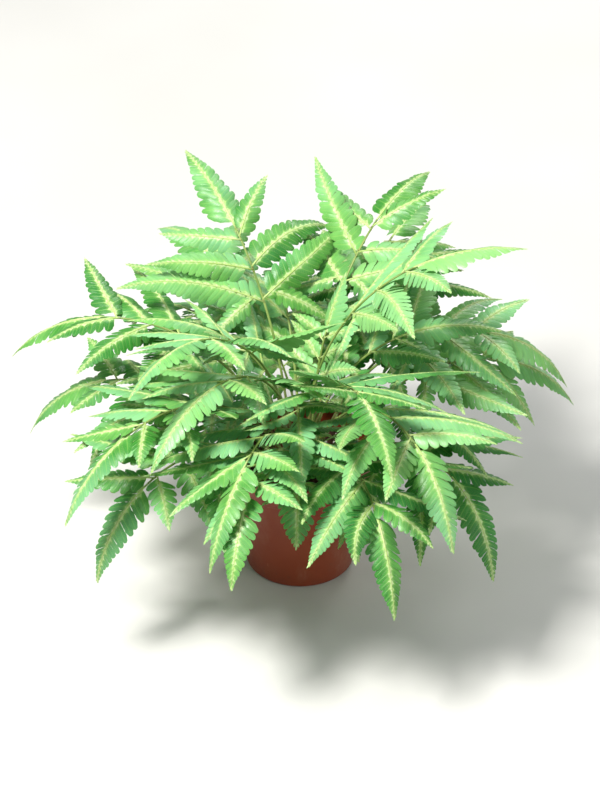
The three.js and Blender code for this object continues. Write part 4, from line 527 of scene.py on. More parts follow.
def leaf_blade(mesh, b, rng, look):
    """All pinnules of one blade, its midrib and its pointed end."""
    L, W, kind = b["L"], b["W"], b["kind"]
    widths = {"side": SIDE_W, "end": END_W, "fork": FORK_W}[kind]
    pitch0 = look["pitch"] * {"side": 1.0, "end": 0.96, "fork": 0.74}[kind] * (W / 12.5 if kind != "fork" else 1.0) ** 0.35
    fold = look["fold"] + rng.normal(0, 2.0)
    edge_curl = look["edge_curl"] + rng.normal(0, 4.0)
    tone = look["tone"] + rng.normal(0, 0.10)
    wave_p, wave_l = rng.uniform(0, 6.28), rng.uniform(26, 44)
    wave_a = look["wave"] * rng.uniform(0.6, 1.3)
    batches = {}
    for hand in (-1, 1):
        x = {"side": 2.6, "end": 2.2, "fork": 2.2}[kind] + (0.35 * pitch0 if hand < 0 else 0.0)
        k = 0
        free0 = look["free"] * rng.uniform(0.85, 1.15)
        while x < L - 1.6:
            u = x / L
            pitch = pitch0 * (1 - 0.66 * u) * rng.uniform(0.95, 1.05)
            c = x + pitch / 2
            uc = min(1.0, c / L)
            half = W * np.interp(uc, SIDE_U, widths)
            gamma = (72 - 22 * uc + rng.normal(0, 1.6)) * RAD
            if kind == "end" and k == 0:
                gamma -= 6 * RAD
            ln = half / math.sin(gamma) * rng.uniform(0.95, 1.045)
            # the pinnule that an enlarged one replaces
            if kind == "side" and b.get("fork_at") and hand == b["basal"] and x < b["fork_at"] + 3.5:
                ln *= 0.42 + 0.3 * (abs(c - b["fork_at"]) / 9.0)
            fused = float(np.interp(uc, [0, free0, free0 + 0.2, 0.56, 0.8, 1.0], [0.03, 0.06, 0.32, 0.52, 0.72, 0.92]))
            fused = max(0.03, fused + rng.normal(0, 0.03))
            blunt = float(np.interp(uc, [0, 0.35, 0.7, 1], [3.4, 3.0, 2.4, 1.8])) * rng.uniform(0.9, 1.12)
            big = 0 if ln > 8.5 else 1 if ln > 4.6 else 2
            batches.setdefault((hand, big), []).append((
                c, pitch, ln, gamma, fused, blunt, uc, rng.uniform(0, 1), rng.normal(0, 1), rng.normal(0, 1), rng.normal(0, 1)))
            x += pitch
            k += 1
    for (hand, big), rowsof in batches.items():
        nl, nw = look["grids"][big]
        t = rows(nl)[None, :, None]
        vv = np.linspace(-1, 1, nw + 1)[None, None, :]
        q = np.array(rowsof)
        c, pitch, ln, gamma, fused, blunt, uc, chance, r1, r2, r3 = (q[:, i][:, None, None] for i in range(11))
        z = np.clip((t - fused) / (1 - fused), 0, 1)
        free_base = np.clip(1 - fused / 0.18, 0, 1)
        outline = np.clip(1 - z**blunt, 0, 1) ** 0.5
        waist = 1 - 0.30 * free_base * np.exp(-((t / 0.12) ** 2))
        part = (t > fused) * 0.05 * np.clip((t - fused) / 0.10, 0, 1)
        free = np.clip((t - fused) / 0.35, 0, 1)
        wide = np.maximum(outline * waist * (1.015 - part) * (1 + look["broad"] * free), 0.085)
        # teeth on the free part of the margin, pointing to the pinnule's tip
        teeth = np.where(np.arange(nl + 1) % 2 == 1, 1.0, -0.6)[None, :, None] * (z > 0.02) * (t < 0.99) * look["teeth"]
        edge = np.abs(vv) ** 6
        wide_v = vv * (wide * (pitch / 2) + edge * teeth)
        ax = c + ln * np.cos(gamma) * t + 0.13 * ln * t**2 - 0.5 * pitch * 0.0
        X = ax + wide_v * (1 - 0.12 * free)
        Y = ln * np.sin(gamma) * t + 0.25 - wide_v * np.cos(gamma) * 0.75 * free
        Y = np.maximum(Y, 0.12)
        # relief: each pinnule is raised between its neighbours, with a sunken vein down its middle
        mid = 1 - np.abs(vv)
        swell = np.sin(np.pi * np.clip(t * 0.9 + 0.08, 0, 1)) ** 0.5
        H = look["swell"] * pitch * (1 - vv**2) * swell * (0.6 + 0.4 * free)
        H = H - look["vein"] * np.exp(-((vv / 0.22) ** 2)) * np.clip(1 - t, 0, 1) ** 0.3
        tilt = (look["tilt"] + 5.0 * r1) * RAD * np.clip(1.15 - uc, 0.15, 1)
        H = H + np.tan(tilt) * wide_v * np.clip((t - 0.6 * fused) / 0.35, 0, 1)
        H = H + ln * t**2 * (look["tip_lift"] + 0.035 * r2) * (1 - 0.6 * fused)
        H = H + 0.10 * r3 * t
        H = H + wave_a * np.sin(2 * np.pi * X / wave_l + wave_p + 1.1 * hand) * (Y / max(W, 1))
        H = H + 0.12
        thick = look["thick"] * (1 - 0.35 * t)
        n = len(rowsof)
        Xb, Yb, Hb = (np.broadcast_to(w, (n, nl + 1, nw + 1)) for w in (X, Y, H))
        thick = np.broadcast_to(thick, (n, nl + 1, nw + 1))
        rim = np.zeros((nl + 1, nw + 1), bool)
        rim[0, :] = rim[-1, :] = rim[:, 0] = rim[:, -1] = True
        top_h = np.where(rim, Hb, Hb + thick / 2)
        low_h = (Hb - thick / 2)[:, 1:-1, 1:-1]
        top = map_to_blade(b, Xb, hand * Yb, top_h, fold, edge_curl)
        low = map_to_blade(b, Xb[:, 1:-1, 1:-1], hand * Yb[:, 1:-1, 1:-1], low_h, fold, edge_curl)
        v = np.concatenate([top.reshape(n, -1, 3), low.reshape(n, -1, 3)], 1)
        ft, fb, sharp = grid_shell(nl, nw)
        if hand < 0:
            ft, fb = ft[:, ::-1], fb[:, ::-1]
        per = v.shape[1]
        off = (np.arange(n) * per)[:, None, None]
        F = np.concatenate([np.broadcast_to(ft, (n,) + ft.shape), np.broadcast_to(fb, (n,) + fb.shape)], 1) + off
        M = np.tile(np.concatenate([np.zeros(len(ft), int), np.ones(len(fb), int)]), n)
        E = np.broadcast_to(sharp, (n,) + sharp.shape) + off

        def field(w):
            w = np.broadcast_to(w, (n, nl + 1, nw + 1))
            return np.concatenate([w.reshape(n, -1), w[:, 1:-1, 1:-1].reshape(n, -1)], 1).ravel()

        mesh.add(v, F, M, E, lat=field(Yb), span=field(np.broadcast_to(vv, (n, nl + 1, nw + 1))), along=field(uc), out=field(t),
                 chance=field(chance), tone=field(np.full((n, 1, 1), tone)))
    # the pointed end
    nl, nw = 4, 2
    t = rows(nl)[None, :, None]
    vv = np.linspace(-1, 1, nw + 1)[None, None, :]
    x0 = L - 3.2
    X = x0 + 5.0 * t + 0 * vv
    Y = vv * np.maximum(0.95 * (1 - t**1.3), 0.10)
    H = 0.14 - 0.1 * np.abs(vv)
    top = map_to_blade(b, X, Y, np.where(np.abs(vv) < 0.5, H + 0.08, H) + 0 * X, fold, edge_curl)
    low = map_to_blade(b, X[:, 1:-1, 1:-1], Y[:, 1:-1, 1:-1], (H - 0.12 + 0 * X)[:, 1:-1, 1:-1], fold, edge_curl)
    v = np.concatenate([top.reshape(1, -1, 3), low.reshape(1, -1, 3)], 1)
    ft, fb, sharp = grid_shell(nl, nw)
    ft, fb = ft[:, ::-1], fb[:, ::-1]
    mesh.add(v, np.concatenate([ft, fb]), np.concatenate([np.zeros(len(ft), int), np.ones(len(fb), int)]), sharp,
             lat=0.6, span=0.0, along=1.0, out=0.5, chance=0.5, tone=tone)
    # the midrib: proud of both faces near its foot, and gone at the tip
    n = 15 if kind != "fork" else 9
    s = np.linspace(0, L - 0.8, n)
    P, D, N, S = b["line"].at(b["s0"] + s)
    r = np.interp(s / L, [0, 0.08, 0.4, 1.0], [0.80, 0.66, 0.48, 0.16]) * (0.8 if kind == "fork" else 1.0)
    r = r * (W / 12.5) ** 0.4 if kind != "fork" else r * 0.8
    tube(mesh, P + 0.03 * N, N, S, r, 6, 2, groove=0.35, lat=0.0, along=s / L, tone=tone)


# ---------------------------------------------------------------- node materials
def col(r, g, b, a=1.0):
    """A colour given as 0 to 255 display values."""
    lin = [(c / 255 / 12.92) if c / 255 <= 0.04045 else ((c / 255 + 0.055) / 1.055) ** 2.4 for c in (r, g, b)]
    return (*lin, a)


class Tree:
    """A material's nodes, written as sums."""

    def __init__(self, name):
        self.mat = bpy.data.materials.new(name)
        self.mat.use_nodes = True
        self.nt = self.mat.node_tree
        self.nt.nodes.clear()

    def node(self, kind, **props):
        n = self.nt.nodes.new(kind)
        for k, v in props.items():
            setattr(n, k, v)
        return n

    def put(self, socket, value):
        if isinstance(value, bpy.types.NodeSocket):
            self.nt.links.new(value, socket)
        elif value is not None:
            socket.default_value = value

    def attr(self, name):
        return self.node("ShaderNodeAttribute", attribute_type="GEOMETRY", attribute_name=name).outputs["Fac"]

    def place(self):
        return self.node("ShaderNodeTexCoord").outputs["Object"]

    def math(self, op, a, b=None, c=None, clamp=False):
        n = self.node("ShaderNodeMath", operation=op, use_clamp=clamp)
        for socket, value in zip(n.inputs, (a, b, c)):
            self.put(socket, value)
        return n.outputs[0]

    def add(self, a, b):
        return self.math("ADD", a, b)

    def mul(self, a, b):
        return self.math("MULTIPLY", a, b)

    def fit(self, x, a, b, c=0.0, d=1.0, smooth=True):
        n = self.node("ShaderNodeMapRange", interpolation_type="SMOOTHSTEP" if smooth else "LINEAR")
        for socket, value in zip(n.inputs, (x, a, b, c, d)):
            self.put(socket, value)
        return n.outputs[0]

    def mix(self, share, a, b, mode="MIX"):
        n = self.node("ShaderNodeMix", data_type="RGBA", blend_type=mode, clamp_factor=True)
        self.put(n.inputs[0], share)
        self.put(n.inputs[6], a)
        self.put(n.inputs[7], b)
        return n.outputs[2]

    def noise(self, scale, detail=2.0, rough=0.5, stretch=None, at=None):
        n = self.node("ShaderNodeTexNoise")
        v = at or self.place()
        if stretch is not None:
            m = self.node("ShaderNodeMapping")
            m.inputs["Scale"].default_value = stretch
            self.put(m.inputs["Vector"], v)
            v = m.outputs[0]
        self.put(n.inputs["Vector"], v)
        n.inputs["Scale"].default_value = scale
        n.inputs["Detail"].default_value = detail
        n.inputs["Roughness"].default_value = rough
        return n.outputs[0]

    def cells(self, scale, feature="F1"):
        n = self.node("ShaderNodeTexVoronoi", feature=feature)
        self.put(n.inputs["Vector"], self.place())
        n.inputs["Scale"].default_value = scale
        return n.outputs["Distance"]

    def bump(self, height, distance, strength=1.0, under=None):
        n = self.node("ShaderNodeBump")
        n.inputs["Strength"].default_value = strength
        n.inputs["Distance"].default_value = distance
        self.put(n.inputs["Height"], height)
        self.put(n.inputs["Normal"], under)
        return n.outputs[0]

    def surface(self, colour, rough, normal=None, ior=1.45, level=0.5, coat=0.0, coat_rough=0.2, sheen=0.0):
        n = self.node("ShaderNodeBsdfPrincipled")
        self.put(n.inputs["Base Color"], colour)
        self.put(n.inputs["Roughness"], rough)
        self.put(n.inputs["Normal"], normal)
        n.inputs["IOR"].default_value = ior
        n.inputs["Specular IOR Level"].default_value = level
        n.inputs["Coat Weight"].default_value = coat
        n.inputs["Coat Roughness"].default_value = coat_rough
        n.inputs["Sheen Weight"].default_value = sheen
        return n.outputs[0]

    def done(self, shader):
        out = self.node("ShaderNodeOutputMaterial")
        self.nt.links.new(shader, out.inputs["Surface"])
        return self.mat

    def leafy(self, shader, through, share, normal=None):
        """Adds the light that a thin leaf lets through."""
        t = self.node("ShaderNodeBsdfTranslucent")
        self.put(t.inputs["Color"], through)
        self.put(t.inputs["Normal"], normal)
        m = self.node("ShaderNodeMixShader")
        m.inputs[0].default_value = share
        self.nt.links.new(shader, m.inputs[1])
        self.nt.links.new(t.outputs[0], m.inputs[2])
        return m.outputs[0]


def leaf_material(name, upper, young=False):
    m = Tree(name)
    lat, span, along, out, chance, tone = (m.attr(k) for k in Mesh.FIELDS)
    lat = m.math("ABSOLUTE", lat)
    edge = m.math("ABSOLUTE", span)
    inner = m.math("SUBTRACT", 1.0, edge)
    patch = m.noise(26, 3, 0.55)
    fine = m.noise(420, 3, 0.6)
    # the lamina: mid green to bluish green, darker towards the pinnule's middle, lighter at its margin
    if young:
        deep, mid, blue = col(122, 176, 84), col(168, 214, 118), col(176, 220, 140)
    elif upper:
        deep, mid, blue = col(48, 144, 40), col(142, 216, 114), col(158, 226, 170)
    else:
        deep, mid, blue = col(112, 162, 100), col(146, 198, 130), col(154, 206, 154)
    lamina = m.mix(m.fit(m.add(patch, m.mul(tone, 0.55)), 0.30, 0.72), deep, mid)
    lamina = m.mix(m.fit(m.add(m.noise(11, 2), m.mul(tone, 0.5)), 0.38, 0.70, 0.0, 0.85), lamina, blue)
    lamina = m.mix(m.mul(m.math("SUBTRACT", chance, 0.5), 0.5), lamina, col(134, 190, 96) if upper else col(150, 190, 120))
    lamina = m.mix(m.fit(chance, 0.0, 0.35, 0.22, 0.0), lamina, deep)
    if not young:
        # old fronds turn bluish and dark, the newest ones are yellowish
        lamina = m.mix(m.fit(tone, -0.05, -0.5, 0.0, 0.62), lamina, col(46, 126, 70) if upper else col(96, 150, 104))
        lamina = m.mix(m.fit(tone, 0.12, 0.5, 0.0, 0.50), lamina, col(158, 216, 88))
    # the pale stripe along the midrib, which runs a little way out along each pinnule's own vein
    width = m.fit(along, 0.0, 0.95, 1.95, 0.65, smooth=False)
    feather = m.mul(m.math("POWER", inner, 3.0), m.add(0.6, m.mul(chance, 1.5)))
    ragged = m.mul(m.math("SUBTRACT", m.noise(230, 2, 0.6), 0.5), 2.4)
    reach = m.add(m.add(width, feather), ragged)
    past = m.math("SUBTRACT", lat, reach)
    stripe = m.fit(past, -0.5, 0.55, 1.0, 0.0)
    halo = m.fit(past, 0.0, 2.8, 0.30, 0.0)
    lime, cream = (col(182, 226, 118), col(238, 246, 196)) if upper else (col(170, 204, 128), col(206, 222, 168))
    colour = m.mix(halo, lamina, lime)
    colour = m.mix(m.mul(stripe, 0.93), colour, m.mix(m.fit(fine, 0.3, 0.75), cream, lime))
    # veins: the pinnule's own, and the finer ones that leave it
    midvein = m.fit(edge, 0.03, 0.16, 1.0, 0.0)
    colour = m.mix(m.mul(midvein, 0.30), colour, lime)
    slant = m.add(m.mul(out, 7.5), m.mul(edge, -1.9))
    ripple = m.math("SINE", m.mul(slant, 6.2832))
    veins = m.mul(m.fit(ripple, 0.55, 1.0), m.fit(edge, 0.1, 0.35))
    colour = m.mix(m.mul(veins, 0.16 if upper else 0.24), colour, lime)
    margin = m.fit(edge, 0.86, 1.0, 0.0, 0.34)
    colour = m.mix(margin, colour, col(176, 208, 132) if upper else col(176, 200, 146))
    # a few dry points and specks
    speck = m.mul(m.fit(m.noise(75, 3, 0.7), 0.70, 0.78), 0.5)
    colour = m.mix(speck, colour, col(150, 138, 70))
    dry = m.mul(m.fit(out, 0.93, 1.0), m.fit(chance, 0.78, 0.9, 0.0, 0.6))
    colour = m.mix(dry, colour, col(150, 122, 66))
    height = m.add(m.mul(midvein, -0.55 if upper else 0.7), m.mul(veins, -0.38 if upper else 0.45))
    normal = m.bump(fine, 0.00012, 0.35)
    normal = m.bump(height, 0.00022, 0.8, normal)
    if upper:
        rough = m.add(m.fit(m.noise(120, 3, 0.6), 0.25, 0.8, 0.30, 0.46), m.mul(stripe, 0.05))
        shader = m.surface(colour, rough, normal, ior=1.46, level=0.5, coat=0.10, coat_rough=0.24)
    else:
        rough = m.fit(m.noise(120, 3, 0.6), 0.25, 0.8, 0.50, 0.66)
        shader = m.surface(colour, rough, normal, ior=1.42, level=0.38)
    through = m.mix(0.6, colour, col(130, 208, 48), "MULTIPLY")
    through = m.mix(0.45, through, col(130, 208, 60))
    return m.done(m.leafy(shader, through, 0.32, normal))


def rib_material():
    m = Tree("midrib")
    along, tone = m.attr("along"), m.attr("tone")
    colour = m.mix(m.fit(m.noise(60, 2), 0.3, 0.7), col(176, 204, 112), col(206, 222, 150))
    colour = m.mix(m.fit(along, 0.3, 1.0, 0.0, 0.45), colour, col(146, 192, 96))
    normal = m.bump(m.noise(700, 3, 0.6), 0.0001, 0.5)
    return m.done(m.leafy(m.surface(colour, m.fit(m.noise(90, 2), 0.3, 0.7, 0.36, 0.5), normal), col(170, 210, 90), 0.12))


def stalk_material():
    m = Tree("stalk")
    along = m.attr("along")
    green = m.mix(m.fit(m.noise(40, 3), 0.3, 0.7), col(112, 138, 66), col(140, 160, 86))
    straw = m.mix(m.fit(m.noise(60, 3), 0.35, 0.7), col(132, 108, 60), col(88, 64, 38))
    grade = m.add(along, m.mul(m.math("SUBTRACT", m.noise(30, 3), 0.5), 0.2))
    colour = m.mix(m.fit(grade, 0.04, 0.34), straw, green)
    streak = m.noise(900, 2, 0.5, (1, 1, 0.06))
    colour = m.mix(m.fit(streak, 0.5, 0.75, 0.0, 0.3), colour, col(120, 140, 60))
    normal = m.bump(streak, 0.00018, 0.6)
    return m.done(m.surface(colour, m.fit(m.noise(150, 2), 0.3, 0.7, 0.34, 0.52), normal))


def scale_material():
    m = Tree("brown scales")
    chance, out = m.attr("chance"), m.attr("out")
    colour = m.mix(m.fit(chance, 0.0, 1.0), col(72, 42, 22), col(150, 100, 58))
    colour = m.mix(m.fit(out, 0.2, 1.0, 0.0, 0.55), colour, col(176, 132, 84))
    colour = m.mix(m.fit(m.noise(600, 2), 0.4, 0.7, 0.0, 0.4), colour, col(52, 30, 16))
    normal = m.bump(m.noise(1500, 3, 0.6), 0.00015, 0.7)
    return m.done(m.surface(colour, m.fit(m.noise(300, 2), 0.3, 0.7, 0.45, 0.7), normal))


def pot_material():
    m = Tree("terracotta plastic")
    place = m.place()
    z = m.node("ShaderNodeSeparateXYZ")
    m.put(z.inputs[0], place)
    height = z.outputs[2]
    colour = m.mix(m.fit(m.noise(9, 4, 0.55), 0.3, 0.72), col(126, 50, 24), col(146, 64, 32))
    colour = m.mix(m.fit(m.noise(70, 4, 0.65), 0.46, 0.74, 0.0, 0.28), colour, col(126, 60, 36))
    # thin chalky water marks and dust, thickest low down
    dust = m.mul(m.fit(m.noise(38, 5, 0.7, (1, 1, 0.45)), 0.52, 0.80), m.fit(height, 0.0, 0.085, 0.26, 0.10))
    colour = m.mix(dust, colour, col(190, 150, 124))
    splash = m.mul(m.fit(m.noise(120, 3, 0.6), 0.58, 0.72), m.fit(height, 0.004, 0.030, 0.45, 0.0))
    colour = m.mix(splash, colour, col(92, 62, 44))
    scuff = m.fit(m.noise(300, 2, 0.5, (1, 1, 0.3)), 0.70, 0.76, 0.0, 0.16)
    colour = m.mix(scuff, colour, col(204, 140, 108))
    rough = m.add(m.fit(m.noise(45, 4, 0.6), 0.3, 0.75, 0.34, 0.50), m.mul(dust, 0.35))
    # moulding: fine rings round the wall, and an even grain
    rings = m.math("SINE", m.mul(height, 5200.0))
    normal = m.bump(rings, 0.00004, 0.35)
    normal = m.bump(m.noise(1300, 3, 0.6), 0.00010, 0.45, normal)
    normal = m.bump(m.noise(32, 3, 0.5), 0.0010, 0.35, normal)
    return m.done(m.surface(colour, rough, normal, ior=1.5, level=0.45))


def soil_material():
    m = Tree("potting mix")
    chance = m.attr("chance")
    colour = m.mix(m.fit(m.noise(160, 5, 0.7), 0.32, 0.72), col(44, 30, 22), col(92, 66, 46))
    colour = m.mix(m.fit(m.cells(700), 0.1, 0.5, 0.45, 0.0), colour, col(28, 19, 14))
    colour = m.mix(m.fit(chance, 0.35, 1.0, 0.0, 0.55), colour, col(126, 92, 62))
    normal = m.bump(m.noise(420, 6, 0.75), 0.0012, 0.9)
    return m.done(m.surface(colour, m.fit(m.noise(80, 3), 0.3, 0.7, 0.78, 0.97), normal, level=0.3))


def perlite_material():
    m = Tree("perlite")
    colour = m.mix(m.fit(m.noise(500, 4, 0.7), 0.35, 0.7), col(206, 202, 190), col(238, 236, 228))
    colour = m.mix(m.fit(m.noise(240, 3), 0.55, 0.75, 0.0, 0.5), colour, col(140, 118, 92))
    normal = m.bump(m.noise(1100, 4, 0.7), 0.0004, 0.8)
    return m.done(m.surface(colour, m.fit(m.noise(200, 2), 0.3, 0.7, 0.7, 0.9), normal, level=0.3))


def fibre_material():
    m = Tree("fibres")
    colour = m.mix(m.fit(m.attr("chance"), 0.0, 1.0), col(96, 64, 38), col(176, 134, 88))
    colour = m.mix(m.fit(m.noise(300, 3), 0.4, 0.7, 0.0, 0.5), colour, col(60, 40, 26))
    normal = m.bump(m.noise(1600, 3, 0.6), 0.0002, 0.7)
    return m.done(m.surface(colour, m.fit(m.noise(200, 2), 0.3, 0.7, 0.7, 0.88), normal, level=0.3))


def rhizome_material():
    m = Tree("rhizome bark")
    colour = m.mix(m.fit(m.noise(110, 5, 0.7), 0.32, 0.7), col(58, 36, 22), col(112, 74, 44))
    colour = m.mix(m.fit(m.cells(320), 0.05, 0.5, 0.5, 0.0), colour, col(36, 22, 14))
    normal = m.bump(m.noise(380, 5, 0.7), 0.0014, 0.9)
    return m.done(m.surface(colour, m.fit(m.noise(90, 3), 0.3, 0.7, 0.7, 0.92), normal, level=0.3))


def crozier_material():
    m = Tree("crozier")
    chance = m.attr("chance")
    colour = m.mix(m.fit(m.noise(70, 3), 0.3, 0.7), col(142, 172, 74), col(182, 206, 112))
    colour = m.mix(m.fit(chance, 0.3, 1.0, 0.0, 0.5), colour, col(122, 152, 66))
    normal = m.bump(m.noise(800, 3, 0.6), 0.0002, 0.6)
    return m.done(m.leafy(m.surface(colour, m.fit(m.noise(120, 2), 0.3, 0.7, 0.42, 0.6), normal), col(160, 200, 80), 0.12))


def floor_material():
    m = Tree("floor")
    colour = m.mix(m.fit(m.noise(2.2, 3, 0.5), 0.3, 0.7), col(208, 207, 203), col(216, 215, 212))
    normal = m.bump(m.noise(900, 3, 0.6), 0.0001, 0.2)
    return m.done(m.surface(colour, m.fit(m.noise(14, 3), 0.3, 0.7, 0.72, 0.82), normal, level=0.3))


# ---------------------------------------------------------------- stalks, scales and coils
def flakes(mesh, P, A, N, length, width, thick, mat, chance):
    """Small pointed scales: P feet, A directions, N faces, all (n, 3); length and width (n,)."""
    n = len(P)
    A = A / np.linalg.norm(A, axis=1)[:, None]
    N = N - A * np.sum(A * N, 1)[:, None]
    N = N / np.linalg.norm(N, axis=1)[:, None]
    B = np.cross(A, N)
    l, w = length[:, None], width[:, None]
    t = thick
    foot, tip = P, P + A * l + N * (0.10 * l)
    left, right = P + A * l * 0.36 + B * w, P + A * l * 0.36 - B * w
    mid = P + A * l * 0.42
    v = np.stack([foot, left, tip, right, mid + N * t, mid - N * t * 0.4], 1).reshape(-1, 3)
    tri = np.array([[0, 4, 1, 1], [1, 4, 2, 2], [2, 4, 3, 3], [3, 4, 0, 0], [1, 5, 0, 0], [2, 5, 1, 1], [3, 5, 2, 2], [0, 5, 3, 3]])
    f = (tri[None] + 6 * np.arange(n)[:, None, None]).reshape(-1, 4)
    mesh.add(v, f, mat, chance=np.repeat(chance, 6), out=np.tile([0.0, 0.5, 1.0, 0.5, 0.4, 0.4], n))


def stalk(mesh, line, end, rng, mats, tone, r0=1.24, r1=0.78, scales=34, scale_to=46.0, sides=8):
    n = 30
    s = np.linspace(0.4, end, n)
    P, D, N, S = line.at(s)
    r = np.interp(s / end, [0, 0.12, 0.6, 1.0], [r0, r0 * 0.9, (r0 + r1) / 2, r1])
    tube(mesh, P, N, S, r, sides, mats["stalk"], groove=0.45, along=s / end, tone=tone)
    s = scale_to * rng.random(scales) ** 1.7 + 2.0
    P, D, N, S = line.at(s)
    a = rng.uniform(0, 2 * math.pi, scales)
    R = np.cos(a)[:, None] * S + np.sin(a)[:, None] * N
    lean = rng.uniform(0.12, 0.5, scales)[:, None]
    A = D * (1 - 0.3 * lean) + R * lean + rng.normal(0, 0.08, (scales, 3))
    flakes(mesh, P + R * 0.95, A, R, rng.uniform(2.2, 5.4, scales) * (1 - 0.35 * s / scale_to), rng.uniform(0.32, 0.62, scales), 0.10, mats["scale"], rng.random(scales))


LEAF_MATS = dict(stalk=3, scale=4)


def frond_object(name, f, rng, tone, mats, look):
    mesh = Mesh()
    line, parts = blades(f)
    look = dict(look, tone=tone, fold=f["fold"])
    for b in parts:
        leaf_blade(mesh, b, rng, look)
    stalk(mesh, line, f["st"] + 1.0, rng, LEAF_MATS, tone, scales=look["scales"])
    # a few scales sit where each pair of pinnae leaves the rachis
    s = np.array([p[1] for p in f["p"]])
    P, D, N, S = line.at(np.repeat(s, 3) + rng.uniform(-3, 3, 3 * len(s)))
    n = len(P)
    a = rng.uniform(0, 2 * math.pi, n)
    R = np.cos(a)[:, None] * S + np.sin(a)[:, None] * N
    flakes(mesh, P + R * 0.7, D + R * 0.4, R, rng.uniform(1.0, 2.0, n), rng.uniform(0.16, 0.3, n), 0.07, LEAF_MATS["scale"], rng.random(n))
    return mesh.build(name, mats)


def crozier_object(name, f, rng, mats):
    mesh = Mesh()
    line = frond_line(f)
    P, D, N, S = line.at(np.array([f["L"]]))
    R0 = f["coil"] * 0.78
    turns = 1.85
    n0, n1 = 22, 60
    s = np.linspace(0.4, f["L"], n0)
    P0, D0, N0, S0 = line.at(s)
    centre = P[0] - N[0] * R0
    q = np.linspace(0, 1, n1 + 1)[1:]
    a = turns * 2 * math.pi * q
    R = R0 * (1 - 0.84 * q**0.92)
    rad = np.cos(a)[:, None] * N[0] + np.sin(a)[:, None] * D[0]
    swing = S[0] * (0.9 * q)[:, None]
    P1 = centre + R[:, None] * rad + swing
    Pa = np.vstack([P0, P1])
    Na = np.vstack([N0, rad])
    Sa = np.vstack([S0, np.repeat(S, n1, 0)])
    ra = np.concatenate([np.interp(s / f["L"], [0, 1], [1.6, 1.35]), np.interp(q, [0, 0.6, 1], [1.35, 1.1, 0.5])])
    tube(mesh, Pa, Na, Sa, ra, 10, 0, groove=0.3, along=np.linspace(0, 1, len(Pa)), chance=np.linspace(0, 1, len(Pa)))
    # folded leaflets, packed along the inner side of the coil
    k = 46
    i = rng.integers(4, n1 - 2, k)
    side = rng.choice([-1.0, 1.0], k)
    base = P1[i] - rad[i] * ra[n0 + i][:, None] * 0.6 + S[0] * side[:, None] * ra[n0 + i][:, None] * 0.8
    along = -np.sin(a[i])[:, None] * N[0] + np.cos(a[i])[:, None] * D[0]
    flakes(mesh, base, along * 0.8 - rad[i] * 0.5 + S[0] * side[:, None] * 0.35, S[0] * side[:, None] + 0 * base, rng.uniform(1.5, 2.8, k), rng.uniform(0.5, 0.85, k), 0.42, 0, rng.uniform(0.5, 1, k))
    # scales
    m = 120
    i = rng.integers(0, len(Pa) - 4, m)
    b = rng.uniform(-0.4, math.pi + 0.4, m)
    R3 = np.cos(b)[:, None] * Sa[i] + np.sin(b)[:, None] * Na[i]
    T = Pa[np.minimum(i + 1, len(Pa) - 1)] - Pa[i]
    T = T / np.linalg.norm(T, axis=1)[:, None]
    flakes(mesh, Pa[i] + R3 * ra[i][:, None] * 0.92, T + R3 * 0.45 + rng.normal(0, 0.12, (m, 3)), R3, rng.uniform(1.6, 3.8, m), rng.uniform(0.26, 0.5, m), 0.09, 1, rng.random(m))
    return mesh.build(name, mats)


# ---------------------------------------------------------------- pot
POT_HEIGHT, POT_TOP_R, POT_BASE_R, POT_WALL, POT_FLOOR = 105.0, 60.0, 42.5, 1.4, 1.8
COLLAR_Z, COLLAR_STEP = 83.0, 3.2


def cone_r(z):
    return POT_BASE_R + (POT_TOP_R - COLLAR_STEP - 1.6 - POT_BASE_R) * z / POT_HEIGHT


def rounded(points, reach):
    """A profile with each inner corner rounded over its own reach, in mm."""
    out = [points[0]]
    for i in range(1, len(points) - 1):
        p0, p1, p2 = (np.array(points[j], float) for j in (i - 1, i, i + 1))
        r = reach[i]
        if r <= 0:
            out.append(tuple(p1))
            continue
        a = p1 + (p0 - p1) / np.linalg.norm(p0 - p1) * min(r, 0.45 * np.linalg.norm(p0 - p1))
        b = p1 + (p2 - p1) / np.linalg.norm(p2 - p1) * min(r, 0.45 * np.linalg.norm(p2 - p1))
        for t in (0, 0.25, 0.5, 0.75, 1):
            out.append(tuple((1 - t) ** 2 * a + 2 * t * (1 - t) * p1 + t * t * b))
    out.append(points[-1])
    return out


def lathe(profile, sides):
    """Points and faces of a closed turned shape whose profile starts and ends on the axis."""
    body = np.array(profile[1:-1], float)
    n = len(body)
    a = 2 * np.pi * np.arange(sides) / sides
    v = np.stack([body[:, 0, None] * np.cos(a), body[:, 0, None] * np.sin(a), np.repeat(body[:, 1, None], sides, 1)], -1).reshape(-1, 3)
    k, i = np.meshgrid(np.arange(n - 1), np.arange(sides), indexing="ij")
    j = (i + 1) % sides
    f = np.stack([k * sides + i, k * sides + j, (k + 1) * sides + j, (k + 1) * sides + i], -1).reshape(-1, 4)
    v = np.vstack([v, [0, 0, profile[0][1]], [0, 0, profile[-1][1]]])
    i = np.arange(sides)
    j = (i + 1) % sides
    low = np.full(sides, n * sides)
    high = low + 1
    f = np.vstack([f, np.stack([j, i, low, low], -1), np.stack([(n - 1) * sides + i, (n - 1) * sides + j, high, high], -1)])
    return v, f


